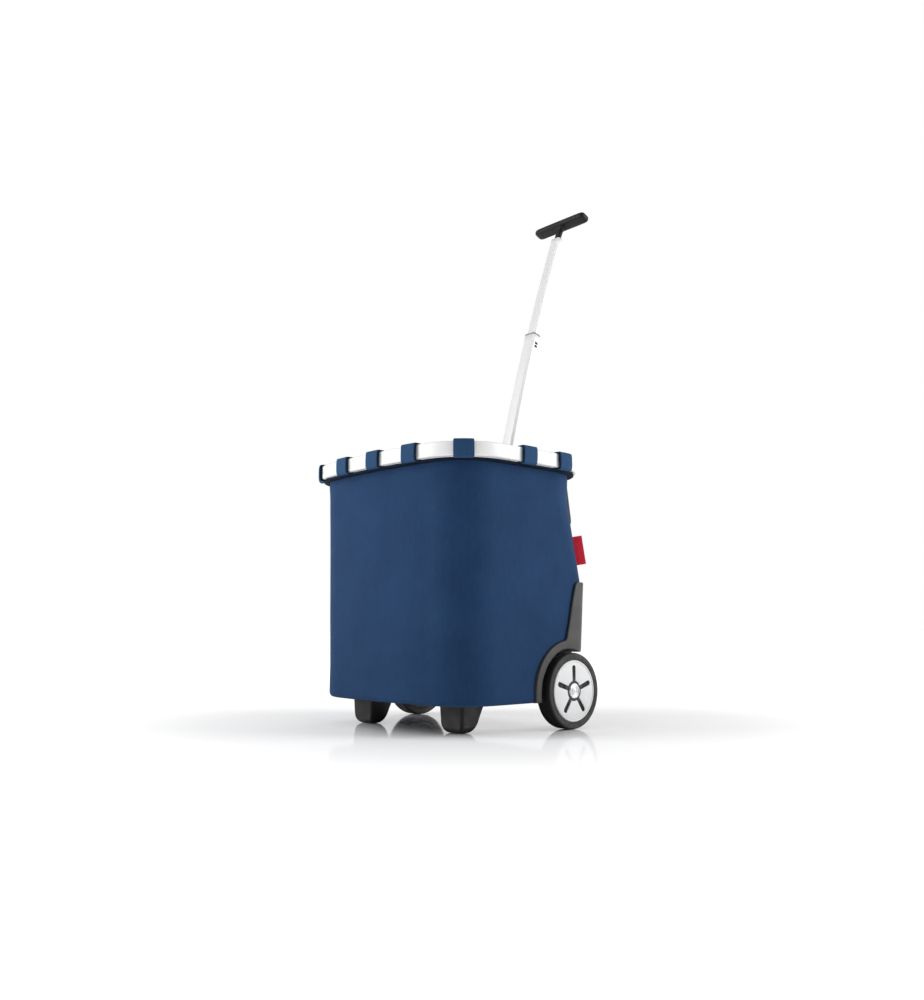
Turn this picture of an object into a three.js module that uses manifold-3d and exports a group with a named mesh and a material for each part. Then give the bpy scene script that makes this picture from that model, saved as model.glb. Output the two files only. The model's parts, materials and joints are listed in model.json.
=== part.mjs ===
// A two-wheeled shopping trolley: an oval metal rim carries an open fabric bag by webbing loops,
// a plastic rear chassis holds the axle and wheels, and a curved two-stage pole slides at the back.
// Millimetres, +Z up, +X along the axle, +Y towards the back of the trolley.
import * as THREE from "three";
import { mergeVertices } from "three/addons/utils/BufferGeometryUtils.js";
import Module from "manifold-3d";

const wasm = await Module();
wasm.setup();

// ---------------------------------------------------------------- driving dimensions
const GAP = 0.4; // air left between pieces that touch
const RIM_HALF_WIDTH = 209;
const RIM_HALF_DEPTH = 166;
const RIM_TOP = 441.8;
const RIM_HEIGHT = 23.6;
const RIM_THICK = 8;
const RIM_CORNER = 92;
const RIM_EDGE = 2.6; // rounding of the rim's section
const FRONT_BOW = 1134; // radius of the bowed front and back sides
const SIDE_BOW = 3000;

const BAG_INSET = 15; // rim's outer face to the bag's, at the front and sides
const BAG_BACK_INSET = 9;
const SEAM = 0.3; // between two sewn panels
const BAG_BOTTOM = 44;
const BAG_WALL = 3;
const BAG_TAPER = 5; // how far the bag draws in towards its bottom
const BAG_FRONT_CORNER = 72.4;
const BAG_BACK_CORNER_TOP = 88;
const BAG_BACK_CORNER_LOW = 29;
const HEM_HEIGHT = 3.6;
const HEM_OUTER = 4.2; // how far the hem stays inside the rim's outer face
const HEM_INNER = 3.2; // how far it reaches inside the bag's outer face
const BAG_TOP = RIM_TOP - RIM_HEIGHT - HEM_HEIGHT - 1;
const BAG_SQUARE_FROM = BAG_TOP - 43.6; // from here down the back corners grow squarer

const STRAP_WIDTH = 31;
const STRAP_THICK = 4.5;
const STRAP_STAND = 1.5; // the loops lie a little loose on the rim
const STRAP_SHIFT = 9.5; // the whole set of loops sits this far round the rim
const STRAP_PITCH = 86.5;

const AXLE_Y = 96.3;
const AXLE_RADIUS = 5;
const WHEEL_RADIUS = 60.5;
const WHEEL_WIDTH = 29;
const WHEEL_OUTER_FACE = 202;
const DISC_RADIUS = 48.6;
const HUB_CAP_RADIUS = 12.2;
const SLOT_REACH = 36.5; // centre of a slot's rounded outer end
const SLOT_END_RADIUS = 4.2;
const SLOT_ROOT_RADIUS = 3.4;
const HUB_STAR_RADIUS = 16;
const HUB_STAR_REACH = 19.5;
const STAR_RECESS = 1.6; // the star's face below the disc's
const BUSH_RADIUS = 8.2;
const RUNNING_GAP = 0.25;

const WELL_GAP = 5.5; // tyre to arch
const ARCH_BAND = 14; // radial width of the wheel arch
const WELL_TOP = 2 * WHEEL_RADIUS + WELL_GAP + ARCH_BAND - 0.5;
const WELL_WALL = 150; // inner face of the wheel housing
const PLASTIC = 4;
const CHASSIS_TOP = 236;
const CHASSIS_PROUD_SIDE = 4.2;
const CHASSIS_PROUD_BACK = 5.5;
const BEAM_FRONT = AXLE_Y - 52.3;
const BEAM_TOP = WHEEL_RADIUS + 15.5;
const BEAM_POCKET = 68;
const BACK_WINDOW_HALF = 125;
const BACK_WINDOW_SILL = 150;

const FOOT_X = 111.5;
const FOOT_FRONT = -90;
const FOOT_BOTTOM_WIDTH = 49;
const FOOT_BOTTOM_DEPTH = 33;
const FOOT_TOP_WIDTH = 55;
const FOOT_TOP_DEPTH = 50;
const SCREW_RADIUS = 2.4;

const POLE_ARC = 4127; // radius of the pole's gentle bend
const POLE_LEAN = THREE.MathUtils.degToRad(13.78); // lean at the level of the rim's top
const POLE_Y = 145.5;
const POLE_FOOT = BEAM_TOP + 9.31; // height at which the fixed tube ends, on the bag's cloth over the beam
// How far along the pole a height is reached, counted upwards from the rim's top.
const poleReach = (z) =>
  POLE_ARC * (Math.asin((z - RIM_TOP) / POLE_ARC + Math.sin(POLE_LEAN)) - POLE_LEAN);
const OUTER_TUBE = { w: 34, d: 25, r: 8.5, wall: 1.4, from: poleReach(POLE_FOOT), to: -12 };
const LOWER_TUBE = { w: 29.5, d: 20.5, r: 7, wall: 1.4, from: -80, to: 288 };
const UPPER_TUBE = { w: 24.4, d: 16.2, r: 6, wall: 1.3, from: 237, to: 518.5 };
const BUSH_LENGTH = 8;
const COLLAR_HEIGHT = 2.4;
const SOCKET = { w: 46, d: 37, r: 8, from: OUTER_TUBE.from - 2.4, to: OUTER_TUBE.from + 37.6 };
const NECK_PLUG = 22; // how far the neck reaches down into the tube
const GRIP_CENTRE = 555.5;
const GRIP_HALF = 64.5;
const GRIP_END = 17;
const GRIP_HEIGHT = 13;
const GRIP_DEPTH = 25;
const CLIP_WIDTH = 6;
const CLIP_HEIGHT = 4.4;
const CLIPS_AT = [270.6, 264];

const HOOK_X = 120;
const HOOK_WIDTH = 22;
const HOOK_TOP = BAG_TOP - 2.6;
const HOOK_BOTTOM = HOOK_TOP - 70;

const TAG_Z = 265;
const TAG_HEIGHT = 48;
const TAG_WIDTH = 14.5;
const TAG_THICK = 1.6;

// ---------------------------------------------------------------- materials
const paint = (color, roughness, metalness = 0) =>
  new THREE.MeshStandardMaterial({ color, roughness, metalness });
const SATIN_ALUMINIUM = paint(0xd5d7da, 0.35, 0.8);
const POLE_ALUMINIUM = paint(0xe4e6e8, 0.25, 0.85);
const STEEL = paint(0xb8babd, 0.3, 0.9);
const NAVY_FABRIC = paint(0x1d3a5e, 0.9);
const NAVY_WEBBING = paint(0x2a466a, 0.9);
const DARK_PLASTIC = paint(0x4b4848, 0.55);
const BLACK_PLASTIC = paint(0x2a2828, 0.5);
const GREY_BOARD = paint(0x55575a, 0.8);
const RED_LABEL = paint(0xb92a3c, 0.8);
const TYRE_RUBBER = paint(0x2b2b2c, 0.85);
const PALE_PLASTIC = paint(0xdcdde0, 0.4);
const SILVER_PLASTIC = paint(0xc2c4c8, 0.3, 0.6);

// ---------------------------------------------------------------- solids
// A three.js geometry as a solid that booleans can work on.
function solid(geometry) {
  const flat = geometry.index ? geometry.toNonIndexed() : geometry;
  const bare = new THREE.BufferGeometry();
  bare.setAttribute("position", flat.getAttribute("position"));
  const merged = mergeVertices(bare, 1e-3);
  return new wasm.Manifold(
    new wasm.Mesh({
      numProp: 3,
      vertProperties: merged.attributes.position.array,
      triVerts: new Uint32Array(merged.index.array),
    }),
  );
}

// Quads joining rings of equal length; a closed loop of rings has no caps.
function skin(rings, loop, cap) {
  const count = rings[0].length;
  const positions = rings.flat().flatMap((p) => [p.x, p.y, p.z]);
  const index = [];
  const spans = loop ? rings.length : rings.length - 1;
  for (let i = 0; i < spans; i++) {
    const a = i * count;
    const b = ((i + 1) % rings.length) * count;
    for (let j = 0; j < count; j++) {
      const k = (j + 1) % count;
      index.push(a + j, a + k, b + k, a + j, b + k, b + j);
    }
  }
  if (!loop) {
    const last = (rings.length - 1) * count;
    for (const [p, q, r] of cap) {
      index.push(r, q, p);
      index.push(last + p, last + q, last + r);
    }
  }
  const geometry = new THREE.BufferGeometry();
  geometry.setAttribute("position", new THREE.Float32BufferAttribute(positions, 3));
  geometry.setIndex(index);
  const made = solid(geometry);
  if (made.volume() > 0) {
    return made;
  }
  const turned = [];
  for (let i = 0; i < index.length; i += 3) {
    turned.push(index[i], index[i + 2], index[i + 1]);
  }
  geometry.setIndex(turned);
  return solid(geometry);
}

// A flat section carried through frames, each of which places its points in space.
function sweep(section, frames, loop = false) {
  const outline = THREE.ShapeUtils.isClockWise(section) ? [...section].reverse() : section;
  const rings = frames.map((place) => outline.map(place));
  return skin(rings, loop, THREE.ShapeUtils.triangulateShape([...outline], []));
}

function box(x0, x1, y0, y1, z0, z1) {
  const geometry = new THREE.BoxGeometry(x1 - x0, y1 - y0, z1 - z0);
  return solid(geometry.translate((x0 + x1) / 2, (y0 + y1) / 2, (z0 + z1) / 2));
}

// A profile in the Y-Z plane extruded along X.
function alongX(points, x0, x1) {
  const shape = new THREE.Shape(points);
  const geometry = new THREE.ExtrudeGeometry(shape, { depth: x1 - x0, bevelEnabled: false });
  const turn = new THREE.Matrix4().makeBasis(
    new THREE.Vector3(0, 1, 0),
    new THREE.Vector3(0, 0, 1),
    new THREE.Vector3(1, 0, 0),
  );
  return solid(geometry.applyMatrix4(turn).translate(x0, 0, 0));
}

// A profile of (radius, offset) pairs turned about the axle, offset counted outwards from x.
function turned(profile, x, side, segments = 48) {
  const points = profile.map(([r, h]) => new THREE.Vector2(r, h));
  const geometry = new THREE.LatheGeometry(points, segments);
  geometry.rotateX(Math.PI / 2).rotateY((side * Math.PI) / 2);
  return solid(geometry.translate(side * x, AXLE_Y, WHEEL_RADIUS));
}

function cylinderX(radius, x0, x1, y, z, segments = 40) {
  const geometry = new THREE.CylinderGeometry(radius, radius, x1 - x0, segments);
  return solid(geometry.rotateZ(Math.PI / 2).translate((x0 + x1) / 2, y, z));
}

function cylinderZ(radius, z0, z1, x, y, segments = 24) {
  const geometry = new THREE.CylinderGeometry(radius, radius, z1 - z0, segments);
  return solid(geometry.rotateX(Math.PI / 2).translate(x, y, (z0 + z1) / 2));
}

function roundedRect(w, d, r, steps = 3) {
  const points = [];
  const corners = [
    [w / 2 - r, d / 2 - r],
    [r - w / 2, d / 2 - r],
    [r - w / 2, r - d / 2],
    [w / 2 - r, r - d / 2],
  ];
  corners.forEach(([x, y], quarter) => {
    for (let i = 0; i <= steps; i++) {
      const angle = ((quarter + i / steps) * Math.PI) / 2;
      points.push(new THREE.Vector2(x + r * Math.cos(angle), y + r * Math.sin(angle)));
    }
  });
  return points;
}

// ---------------------------------------------------------------- the oval plan
// The plan is eight arcs: bowed front, back and sides, and four corners that meet them smoothly.
function cornerArc(a, b, bow, sideBow, corner) {
  const bowCentre = new THREE.Vector2(0, b - bow);
  const sideCentre = new THREE.Vector2(a - sideBow, 0);
  const r1 = bow - corner;
  const r2 = sideBow - corner;
  const between = sideCentre.clone().sub(bowCentre);
  const length = between.length();
  const along = (r1 * r1 - r2 * r2 + length * length) / (2 * length);
  const across = Math.sqrt(r1 * r1 - along * along);
  const unit = between.divideScalar(length);
  const base = bowCentre.clone().addScaledVector(unit, along);
  const normal = new THREE.Vector2(-unit.y, unit.x);
  const first = base.clone().addScaledVector(normal, across);
  const second = base.clone().addScaledVector(normal, -across);
  const centre = first.x + first.y > second.x + second.y ? first : second;
  const fromSide = Math.atan2(centre.y - sideCentre.y, centre.x - sideCentre.x);
  const toBow = Math.atan2(centre.y - bowCentre.y, centre.x - bowCentre.x);
  return { centre, fromSide, toBow };
}

function planArcs({ a, front, back, cornerFront, cornerBack, bow, sideBow }, inset = 0) {
  const f = cornerArc(a, front, bow, sideBow, cornerFront);
  const b = cornerArc(a, back, bow, sideBow, cornerBack);
  const half = Math.PI / 2;
  const arc = (x, y, r, from, to, steps) => ({ x, y, r: r - inset, from, to, steps });
  return [
    arc(0, bow - front, bow, f.toBow - 2 * half, -f.toBow, 8),
    arc(f.centre.x, -f.centre.y, cornerFront, -f.toBow, -f.fromSide, 8),
    arc(a - sideBow, 0, sideBow, -f.fromSide, b.fromSide, 4),
    arc(b.centre.x, b.centre.y, cornerBack, b.fromSide, b.toBow, 8),
    arc(0, back - bow, bow, b.toBow, 2 * half - b.toBow, 8),
    arc(-b.centre.x, b.centre.y, cornerBack, 2 * half - b.toBow, 2 * half - b.fromSide, 8),
    arc(sideBow - a, 0, sideBow, 2 * half - b.fromSide, 2 * half + f.fromSide, 4),
    arc(-f.centre.x, -f.centre.y, cornerFront, 2 * half + f.fromSide, 2 * half + f.toBow, 8),
  ];
}

function planPoints(plan, inset = 0) {
  return planArcs(plan, inset).flatMap(({ x, y, r, from, to, steps }) =>
    Array.from({ length: steps }, (_, i) => {
      const angle = from + ((to - from) * i) / steps;
      return new THREE.Vector2(x + r * Math.cos(angle), y + r * Math.sin(angle));
    }),
  );
}

// The plan's point and outward direction at a distance along it, from the front's middle.
function planAt(plan, distance) {
  const arcs = planArcs(plan);
  const frontHalf = (arcs[0].r * (arcs[0].to - arcs[0].from)) / 2;
  const total = arcs.reduce((sum, { r, from, to }) => sum + r * (to - from), 0);
  let left = (((distance + frontHalf) % total) + total) % total;
  for (const { x, y, r, from, to } of arcs) {
    const length = r * (to - from);
    if (left <= length) {
      const angle = from + left / r;
      const out = new THREE.Vector2(Math.cos(angle), Math.sin(angle));
      return { point: new THREE.Vector2(x + r * out.x, y + r * out.y), out };
    }
    left -= length;
  }
  return planAt(plan, 0);
}

// The distance along the plan at which it passes nearest to a point.
function planDistance(plan, x, y) {
  const target = new THREE.Vector2(x, y);
  let best = { distance: 0, miss: Infinity };
  for (let distance = 0; distance < 1400; distance += 1) {
    const miss = planAt(plan, distance).point.distanceTo(target);
    if (miss < best.miss) {
      best = { distance, miss };
    }
  }
  return best.distance;
}

const RIM_PLAN = {
  a: RIM_HALF_WIDTH,
  front: RIM_HALF_DEPTH,
  back: RIM_HALF_DEPTH,
  cornerFront: RIM_CORNER,
  cornerBack: RIM_CORNER,
  bow: FRONT_BOW,
  sideBow: SIDE_BOW,
};

// The bag's plan at a height, grown outwards by the given amounts at the sides and back.
function bagPlan(z, growSide = 0, growBack = growSide) {
  const down = THREE.MathUtils.clamp((BAG_TOP - z) / (BAG_TOP - BAG_BOTTOM), 0, 1);
  const square = THREE.MathUtils.clamp((BAG_SQUARE_FROM - z) / (BAG_SQUARE_FROM - CHASSIS_TOP), 0, 1);
  const cornerBack = THREE.MathUtils.lerp(BAG_BACK_CORNER_TOP, BAG_BACK_CORNER_LOW, square);
  const lowBack = THREE.MathUtils.clamp((CHASSIS_TOP - z) / (CHASSIS_TOP - BAG_BOTTOM), 0, 1);
  return {
    a: RIM_HALF_WIDTH - BAG_INSET - BAG_TAPER * down + growSide,
    front: RIM_HALF_DEPTH - BAG_INSET - BAG_TAPER * down + growSide,
    back: RIM_HALF_DEPTH - BAG_BACK_INSET + 3 * square - 12 * lowBack + growBack,
    cornerFront: BAG_FRONT_CORNER + growSide,
    cornerBack: cornerBack + growSide,
    bow: FRONT_BOW,
    sideBow: SIDE_BOW,
  };
}

const BAG_LEVELS = [-0.015, 0.25, 0.5, 0.75, 1].map((t) =>
  THREE.MathUtils.lerp(CHASSIS_TOP, BAG_SQUARE_FROM, t),
);

// The bag's outer shape moved inwards by an inset, from a bottom level to a top level.
function bagBody(inset, bottom, top, rounding = 8, growSide = -inset, growBack = growSide) {
  const ring = (z, draw) => {
    const plan = bagPlan(z, growSide - draw, growBack - draw);
    return planPoints(plan).map((p) => new THREE.Vector3(p.x, p.y, z));
  };
  const rings = [];
  for (const [up, draw] of rounding ? [[0, 1], [0.3, 0.29], [1, 0]] : [[0, 0]]) {
    rings.push(ring(bottom + up * rounding, draw * rounding));
  }
  for (const z of BAG_LEVELS.filter((level) => level > bottom + rounding + 1 && level < top - 1)) {
    rings.push(ring(z, 0));
  }
  rings.push(ring(top, 0));
  const flat = rings[0].map((p) => new THREE.Vector2(p.x, p.y));
  return skin(rings, false, THREE.ShapeUtils.triangulateShape(flat, []));
}

// ---------------------------------------------------------------- the pole's curve
const POLE_CENTRE = {
  y: POLE_Y + POLE_ARC * Math.cos(POLE_LEAN),
  z: RIM_TOP - POLE_ARC * Math.sin(POLE_LEAN),
};

// Places a section point at a distance along the pole, counted upwards from the rim's top.
function poleFrame(distance) {
  const lean = POLE_LEAN + distance / POLE_ARC;
  return ({ x, y }) => {
    const radius = POLE_ARC - y;
    return new THREE.Vector3(
      x,
      POLE_CENTRE.y - radius * Math.cos(lean),
      POLE_CENTRE.z + radius * Math.sin(lean),
    );
  };
}

function poleFrames(from, to) {
  const steps = Math.max(1, Math.round((to - from) / 42));
  return Array.from({ length: steps + 1 }, (_, i) => poleFrame(from + ((to - from) * i) / steps));
}

function poleBar({ w, d, r }, from, to, grow = 0) {
  return sweep(roundedRect(w + 2 * grow, d + 2 * grow, r + grow), poleFrames(from, to));
}

function poleTube(tube) {
  const core = poleBar(tube, tube.from - 1, tube.to + 1, -tube.wall);
  return poleBar(tube, tube.from, tube.to).subtract(core);
}

function poleRing(outer, from, to, hole, clearance) {
  return poleBar(outer, from, to).subtract(poleBar(hole, from - 1, to + 1, clearance));
}

// ---------------------------------------------------------------- assembly
const trolley = new THREE.Group();
trolley.name = "shopping_trolley";

function add(name, made, material) {
  const data = made.getMesh();
  const positions = [];
  for (let i = 0; i < data.numVert; i++) {
    const at = i * data.numProp;
    positions.push(...data.vertProperties.slice(at, at + 3));
  }
  const geometry = new THREE.BufferGeometry();
  geometry.setAttribute("position", new THREE.Float32BufferAttribute(positions, 3));
  geometry.setIndex(Array.from(data.triVerts));
  geometry.computeVertexNormals();
  const mesh = new THREE.Mesh(geometry, material);
  mesh.name = name;
  trolley.add(mesh);
}

const SIDES = [
  ["right", 1],
  ["left", -1],
];

// ---------------------------------------------------------------- rim and straps
function addRim() {
  const section = roundedRect(RIM_THICK, RIM_HEIGHT, RIM_EDGE, 1);
  const stations = section.map((p) => planPoints(RIM_PLAN, RIM_THICK / 2 - p.x));
  const middle = RIM_TOP - RIM_HEIGHT / 2;
  const rings = stations[0].map((_, i) =>
    section.map((p, j) => new THREE.Vector3(stations[j][i].x, stations[j][i].y, middle + p.y)),
  );
  add("rim_frame", skin(rings, true, []), SATIN_ALUMINIUM);
}

// The strap's section: up inside the rim, over it, down outside and under it to the hem.
function strapSection() {
  const half = STRAP_THICK / 2;
  const inside = -RIM_THICK - GAP - half;
  const outside = STRAP_STAND + half;
  const over = RIM_TOP + GAP + half;
  const under = RIM_TOP - RIM_HEIGHT - GAP - half;
  const line = [
    [inside, RIM_TOP - RIM_HEIGHT + 0.4],
    [inside, over - 2.2],
    [inside + 0.7, over - 0.7],
    [inside + 2.2, over],
    [outside - 2.6, over],
    [outside - 0.8, over - 0.8],
    [outside, over - 2.6],
    [outside, under + 2.6],
    [outside - 0.8, under + 0.8],
    [outside - 2.6, under],
    [GAP - HEM_OUTER, under],
  ].map(([x, y]) => new THREE.Vector2(x, y));
  const offset = line.map((p, i) => {
    const before = line[Math.max(i - 1, 0)];
    const after = line[Math.min(i + 1, line.length - 1)];
    const inward = p.clone().sub(before).normalize();
    const onward = after.clone().sub(p).normalize();
    const along = inward.add(onward).normalize();
    const bend = Math.max(0.6, Math.abs(along.dot(i ? p.clone().sub(before).normalize() : along)));
    return new THREE.Vector2(-along.y, along.x).multiplyScalar(half / bend);
  });
  const left = line.map((p, i) => p.clone().add(offset[i]));
  const right = line.map((p, i) => p.clone().sub(offset[i]));
  return [...left, ...right.reverse()];
}

function addStrap(name, x, y) {
  const middle = planDistance(RIM_PLAN, x, y) + STRAP_SHIFT;
  const section = strapSection();
  const frames = [];
  const steps = 4;
  for (let i = 0; i <= steps; i++) {
    const { point, out } = planAt(RIM_PLAN, middle + STRAP_WIDTH * (i / steps - 0.5));
    frames.push(
      ({ x: u, y: v }) => new THREE.Vector3(point.x + out.x * u, point.y + out.y * u, v),
    );
  }
  add(name, sweep(section, frames), NAVY_WEBBING);
}

function addStraps() {
  addStrap("strap_front_middle", 0, -RIM_HALF_DEPTH);
  for (const [side, sign] of SIDES) {
    addStrap("strap_front_" + side, sign * STRAP_PITCH, -RIM_HALF_DEPTH);
    addStrap("strap_front_corner_" + side, sign * (RIM_HALF_WIDTH - 30), 28 - RIM_HALF_DEPTH);
    addStrap("strap_side_" + side, sign * RIM_HALF_WIDTH, -22);
    addStrap("strap_back_corner_" + side, sign * RIM_HALF_WIDTH, 63);
    addStrap("strap_back_" + side, sign * STRAP_PITCH, RIM_HALF_DEPTH);
  }
}

// ---------------------------------------------------------------- wheel housing profiles
function arcPoints(radius, from, to, steps) {
  return Array.from({ length: steps + 1 }, (_, i) => {
    const angle = from + ((to - from) * i) / steps;
    const y = AXLE_Y + radius * Math.cos(angle);
    return new THREE.Vector2(y, WHEEL_RADIUS + radius * Math.sin(angle));
  });
}

// The wheel housing seen from the side, grown by a margin: an arch that runs into a flat top.
function housingProfile(grow) {
  const radius = WHEEL_RADIUS + WELL_GAP + ARCH_BAND + grow;
  const top = WELL_TOP + grow;
  const meets = Math.PI - Math.asin(Math.min(0.999, (top - WHEEL_RADIUS) / radius));
  const arch = arcPoints(radius, Math.PI, meets, 14);
  return [
    new THREE.Vector2(arch[0].x, 0),
    ...arch,
    new THREE.Vector2(220, top),
    new THREE.Vector2(220, 0),
  ];
}

// The upright behind the bag's side, seen from the side: broad below, a narrow tongue above.
function uprightProfile() {
  const rise = (t) => THREE.MathUtils.lerp(WELL_TOP + 9, CHASSIS_TOP - 9, t);
  return [
    [AXLE_Y - 8, WELL_TOP - 2],
    [AXLE_Y - 4, WELL_TOP + 9],
    [AXLE_Y + 1, rise(0.244)],
    [AXLE_Y + 5, rise(0.474)],
    [AXLE_Y + 10, rise(0.731)],
    [AXLE_Y + 16, CHASSIS_TOP - 9],
    [AXLE_Y + 18.6, CHASSIS_TOP - 3],
    [AXLE_Y + 22.4, CHASSIS_TOP],
    [220, CHASSIS_TOP],
    [220, WELL_TOP - 2],
  ].map(([y, z]) => new THREE.Vector2(y, z));
}

function wheelWell(sign) {
  const radius = WHEEL_RADIUS + WELL_GAP;
  const inner = WELL_WALL + PLASTIC;
  const [x0, x1] = sign > 0 ? [inner, 240] : [-240, -inner];
  return cylinderX(radius, x0, x1, AXLE_Y, WHEEL_RADIUS, 56)
    .add(box(x0, x1, AXLE_Y - radius, 240, -5, WHEEL_RADIUS))
    .add(box(x0, x1, AXLE_Y, 240, -5, WHEEL_RADIUS + radius - 5));
}

// ---------------------------------------------------------------- bag
// Removes the beam's and the wheel housings' room from a bag body, with a margin around them.
function clearOfChassis(body, margin) {
  let made = body.subtract(box(-240, 240, BEAM_FRONT - margin, 240, 0, BEAM_TOP + margin));
  for (const sign of [1, -1]) {
    const inner = WELL_WALL - margin;
    const [x0, x1] = sign > 0 ? [inner, 240] : [-240, -inner];
    made = made.subtract(alongX(housingProfile(margin), x0, x1));
  }
  return made;
}

// An upright prism over a polygon of the plan.
function prism(points, bottom, top) {
  const flat = points.map(([x, y]) => new THREE.Vector2(x, y));
  const rings = [bottom, top].map((z) => flat.map((p) => new THREE.Vector3(p.x, p.y, z)));
  return skin(rings, false, THREE.ShapeUtils.triangulateShape(flat, []));
}

// The bag is sewn from wall panels that meet at its corners, a floor and a cover over each wheel.
function addBagPanels(shell) {
  const wallFoot = BAG_WALL + 5;
  const walls = shell.subtract(bagBody(wallFoot - SEAM / 2, 20, 300, 0));
  const inner = shell.intersect(bagBody(wallFoot + SEAM / 2, 20, 300, 0));
  const reach = 130;
  const [fx, fy] = [RIM_HALF_WIDTH - BAG_INSET - BAG_FRONT_CORNER, BAG_FRONT_CORNER + BAG_INSET - RIM_HALF_DEPTH];
  const bx = RIM_HALF_WIDTH - BAG_INSET - BAG_BACK_CORNER_TOP;
  const by = RIM_HALF_DEPTH - BAG_BACK_INSET - BAG_BACK_CORNER_TOP;
  const shift = SEAM * Math.SQRT1_2;
  const front = [[-fx - reach, fy - reach], [fx + reach, fy - reach], [fx, fy], [-fx, fy]];
  const back = [[-bx, by], [bx, by], [bx + reach, by + reach], [-bx - reach, by + reach]];
  const side = [[fx, fy], [fx + reach, fy - reach], [bx + reach, by + reach], [bx, by]];
  const moved = (points, x, y) => points.map((p) => [p[0] + x, p[1] + y]);
  add("bag_front", walls.intersect(prism(moved(front, 0, -shift), 0, 500)), NAVY_FABRIC);
  add("bag_back", walls.intersect(prism(moved(back, 0, shift), 0, 500)), NAVY_FABRIC);
  const split = WELL_WALL - GAP - BAG_WALL - 0.5;
  for (const [name, sign] of SIDES) {
    const points = moved(side, shift, 0).map(([x, y]) => [sign * x, y]);
    const turned = sign > 0 ? points : points.reverse();
    add("bag_side_" + name, walls.intersect(prism(turned, 0, 500)), NAVY_FABRIC);
    const from = split + SEAM / 2;
    const [x0, x1] = sign > 0 ? [from, 240] : [-240, -from];
    add("bag_well_" + name, inner.intersect(box(x0, x1, -240, 240, 0, 500)), NAVY_FABRIC);
  }
  const half = split - SEAM / 2;
  add("bag_floor", inner.intersect(box(-half, half, -240, 240, 0, 500)), NAVY_FABRIC);
}

function addBag() {
  const outer = clearOfChassis(bagBody(0, BAG_BOTTOM, BAG_TOP), GAP);
  const room = bagBody(BAG_WALL, BAG_BOTTOM + BAG_WALL, BAG_TOP + 5, 6);
  let shell = outer.subtract(clearOfChassis(room, GAP + BAG_WALL));
  for (const [, sign] of SIDES) {
    shell = shell.subtract(cylinderZ(SCREW_RADIUS + 0.6, 30, 60, sign * FOOT_X, screwY()));
  }
  addBagPanels(shell);

  const hemBottom = BAG_TOP + GAP;
  const hemTop = hemBottom + HEM_HEIGHT;
  const ring = (plan, z) => planPoints(plan).map((p) => new THREE.Vector3(p.x, p.y, z));
  const outerPlan = (inset) => ({
    ...RIM_PLAN,
    a: RIM_PLAN.a - inset,
    front: RIM_PLAN.front - inset,
    back: RIM_PLAN.back - inset,
    cornerFront: RIM_PLAN.cornerFront - inset,
    cornerBack: RIM_PLAN.cornerBack - inset,
  });
  const rings = [
    ring(outerPlan(HEM_OUTER + 0.8), hemBottom),
    ring(bagPlan(BAG_TOP, -HEM_INNER), hemBottom),
    ring(bagPlan(BAG_TOP, -HEM_INNER), hemTop),
    ring(outerPlan(HEM_OUTER + 0.8), hemTop),
    ring(outerPlan(HEM_OUTER), hemTop - 0.8),
    ring(outerPlan(HEM_OUTER), hemBottom + 0.8),
  ];
  add("bag_hem", skin(rings, true, []), NAVY_WEBBING);
}

function addBaseBoard() {
  const bottom = BAG_BOTTOM + BAG_WALL + GAP;
  let board = bagBody(BAG_WALL + 7, bottom, bottom + 4.6, 0);
  board = board.subtract(box(-240, 240, BEAM_FRONT - GAP - BAG_WALL - 2, 240, 0, 200));
  for (const sign of [1, -1]) {
    const inner = WELL_WALL - GAP - BAG_WALL - 2;
    const [x0, x1] = sign > 0 ? [inner, 240] : [-240, -inner];
    board = board.subtract(alongX(housingProfile(GAP + BAG_WALL + 2), x0, x1));
    board = board.subtract(cylinderZ(SCREW_RADIUS + GAP, 30, 60, sign * FOOT_X, screwY()));
  }
  add("base_board", board, GREY_BOARD);
}

function addTag() {
  const frame = (z) => {
    const plan = bagPlan(z);
    const { point, out } = planAt(plan, planDistance(plan, plan.a, plan.back));
    return (p) =>
      new THREE.Vector3(
        point.x + out.x * p.x - out.y * p.y,
        point.y + out.y * p.x + out.x * p.y,
        z,
      );
  };
  const start = 2 * GAP;
  const section = [
    [start, -TAG_THICK / 2],
    [start + TAG_WIDTH, -TAG_THICK / 2],
    [start + TAG_WIDTH, TAG_THICK / 2],
    [start, TAG_THICK / 2],
  ].map(([x, y]) => new THREE.Vector2(x, y));
  const levels = [0, 0.25, 0.5, 0.75, 1].map((t) => TAG_Z + t * TAG_HEIGHT);
  add("side_tag", sweep(section, levels.map(frame)), RED_LABEL);
}

function addHooks() {
  const inner = HOOK_X - HOOK_WIDTH / 2;
  const plan = bagPlan(HOOK_BOTTOM);
  const face = planPoints(plan).reduce(
    (most, p) => (Math.abs(p.x) >= inner - 22 ? Math.max(most, p.y) : most),
    0,
  );
  const back = face + 1.5;
  const profile = [
    [back, HOOK_BOTTOM + 8],
    [back + 4, HOOK_BOTTOM + 8],
    [back + 4, HOOK_TOP - 13],
    [back + 5, HOOK_TOP - 10],
    [back + 7.5, HOOK_TOP - 10],
    [back + 8.5, HOOK_TOP - 13],
    [back + 17, HOOK_BOTTOM + 3],
    [back + 18.5, HOOK_BOTTOM],
    [back + 22, HOOK_BOTTOM + 1],
    [back + 22.5, HOOK_BOTTOM + 5],
    [back + 12.8, HOOK_TOP - 6],
    [back + 9, HOOK_TOP],
    [back, HOOK_TOP],
  ].map(([y, z]) => new THREE.Vector2(y, z));
  for (const [side, sign] of SIDES) {
    const x = sign * HOOK_X;
    const hook = alongX(profile, x - HOOK_WIDTH / 2, x + HOOK_WIDTH / 2);
    add("cart_hook_" + side, hook, BLACK_PLASTIC);
  }
}

// ---------------------------------------------------------------- feet
function screwY() {
  return FOOT_FRONT + FOOT_BOTTOM_DEPTH / 2;
}

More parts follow.
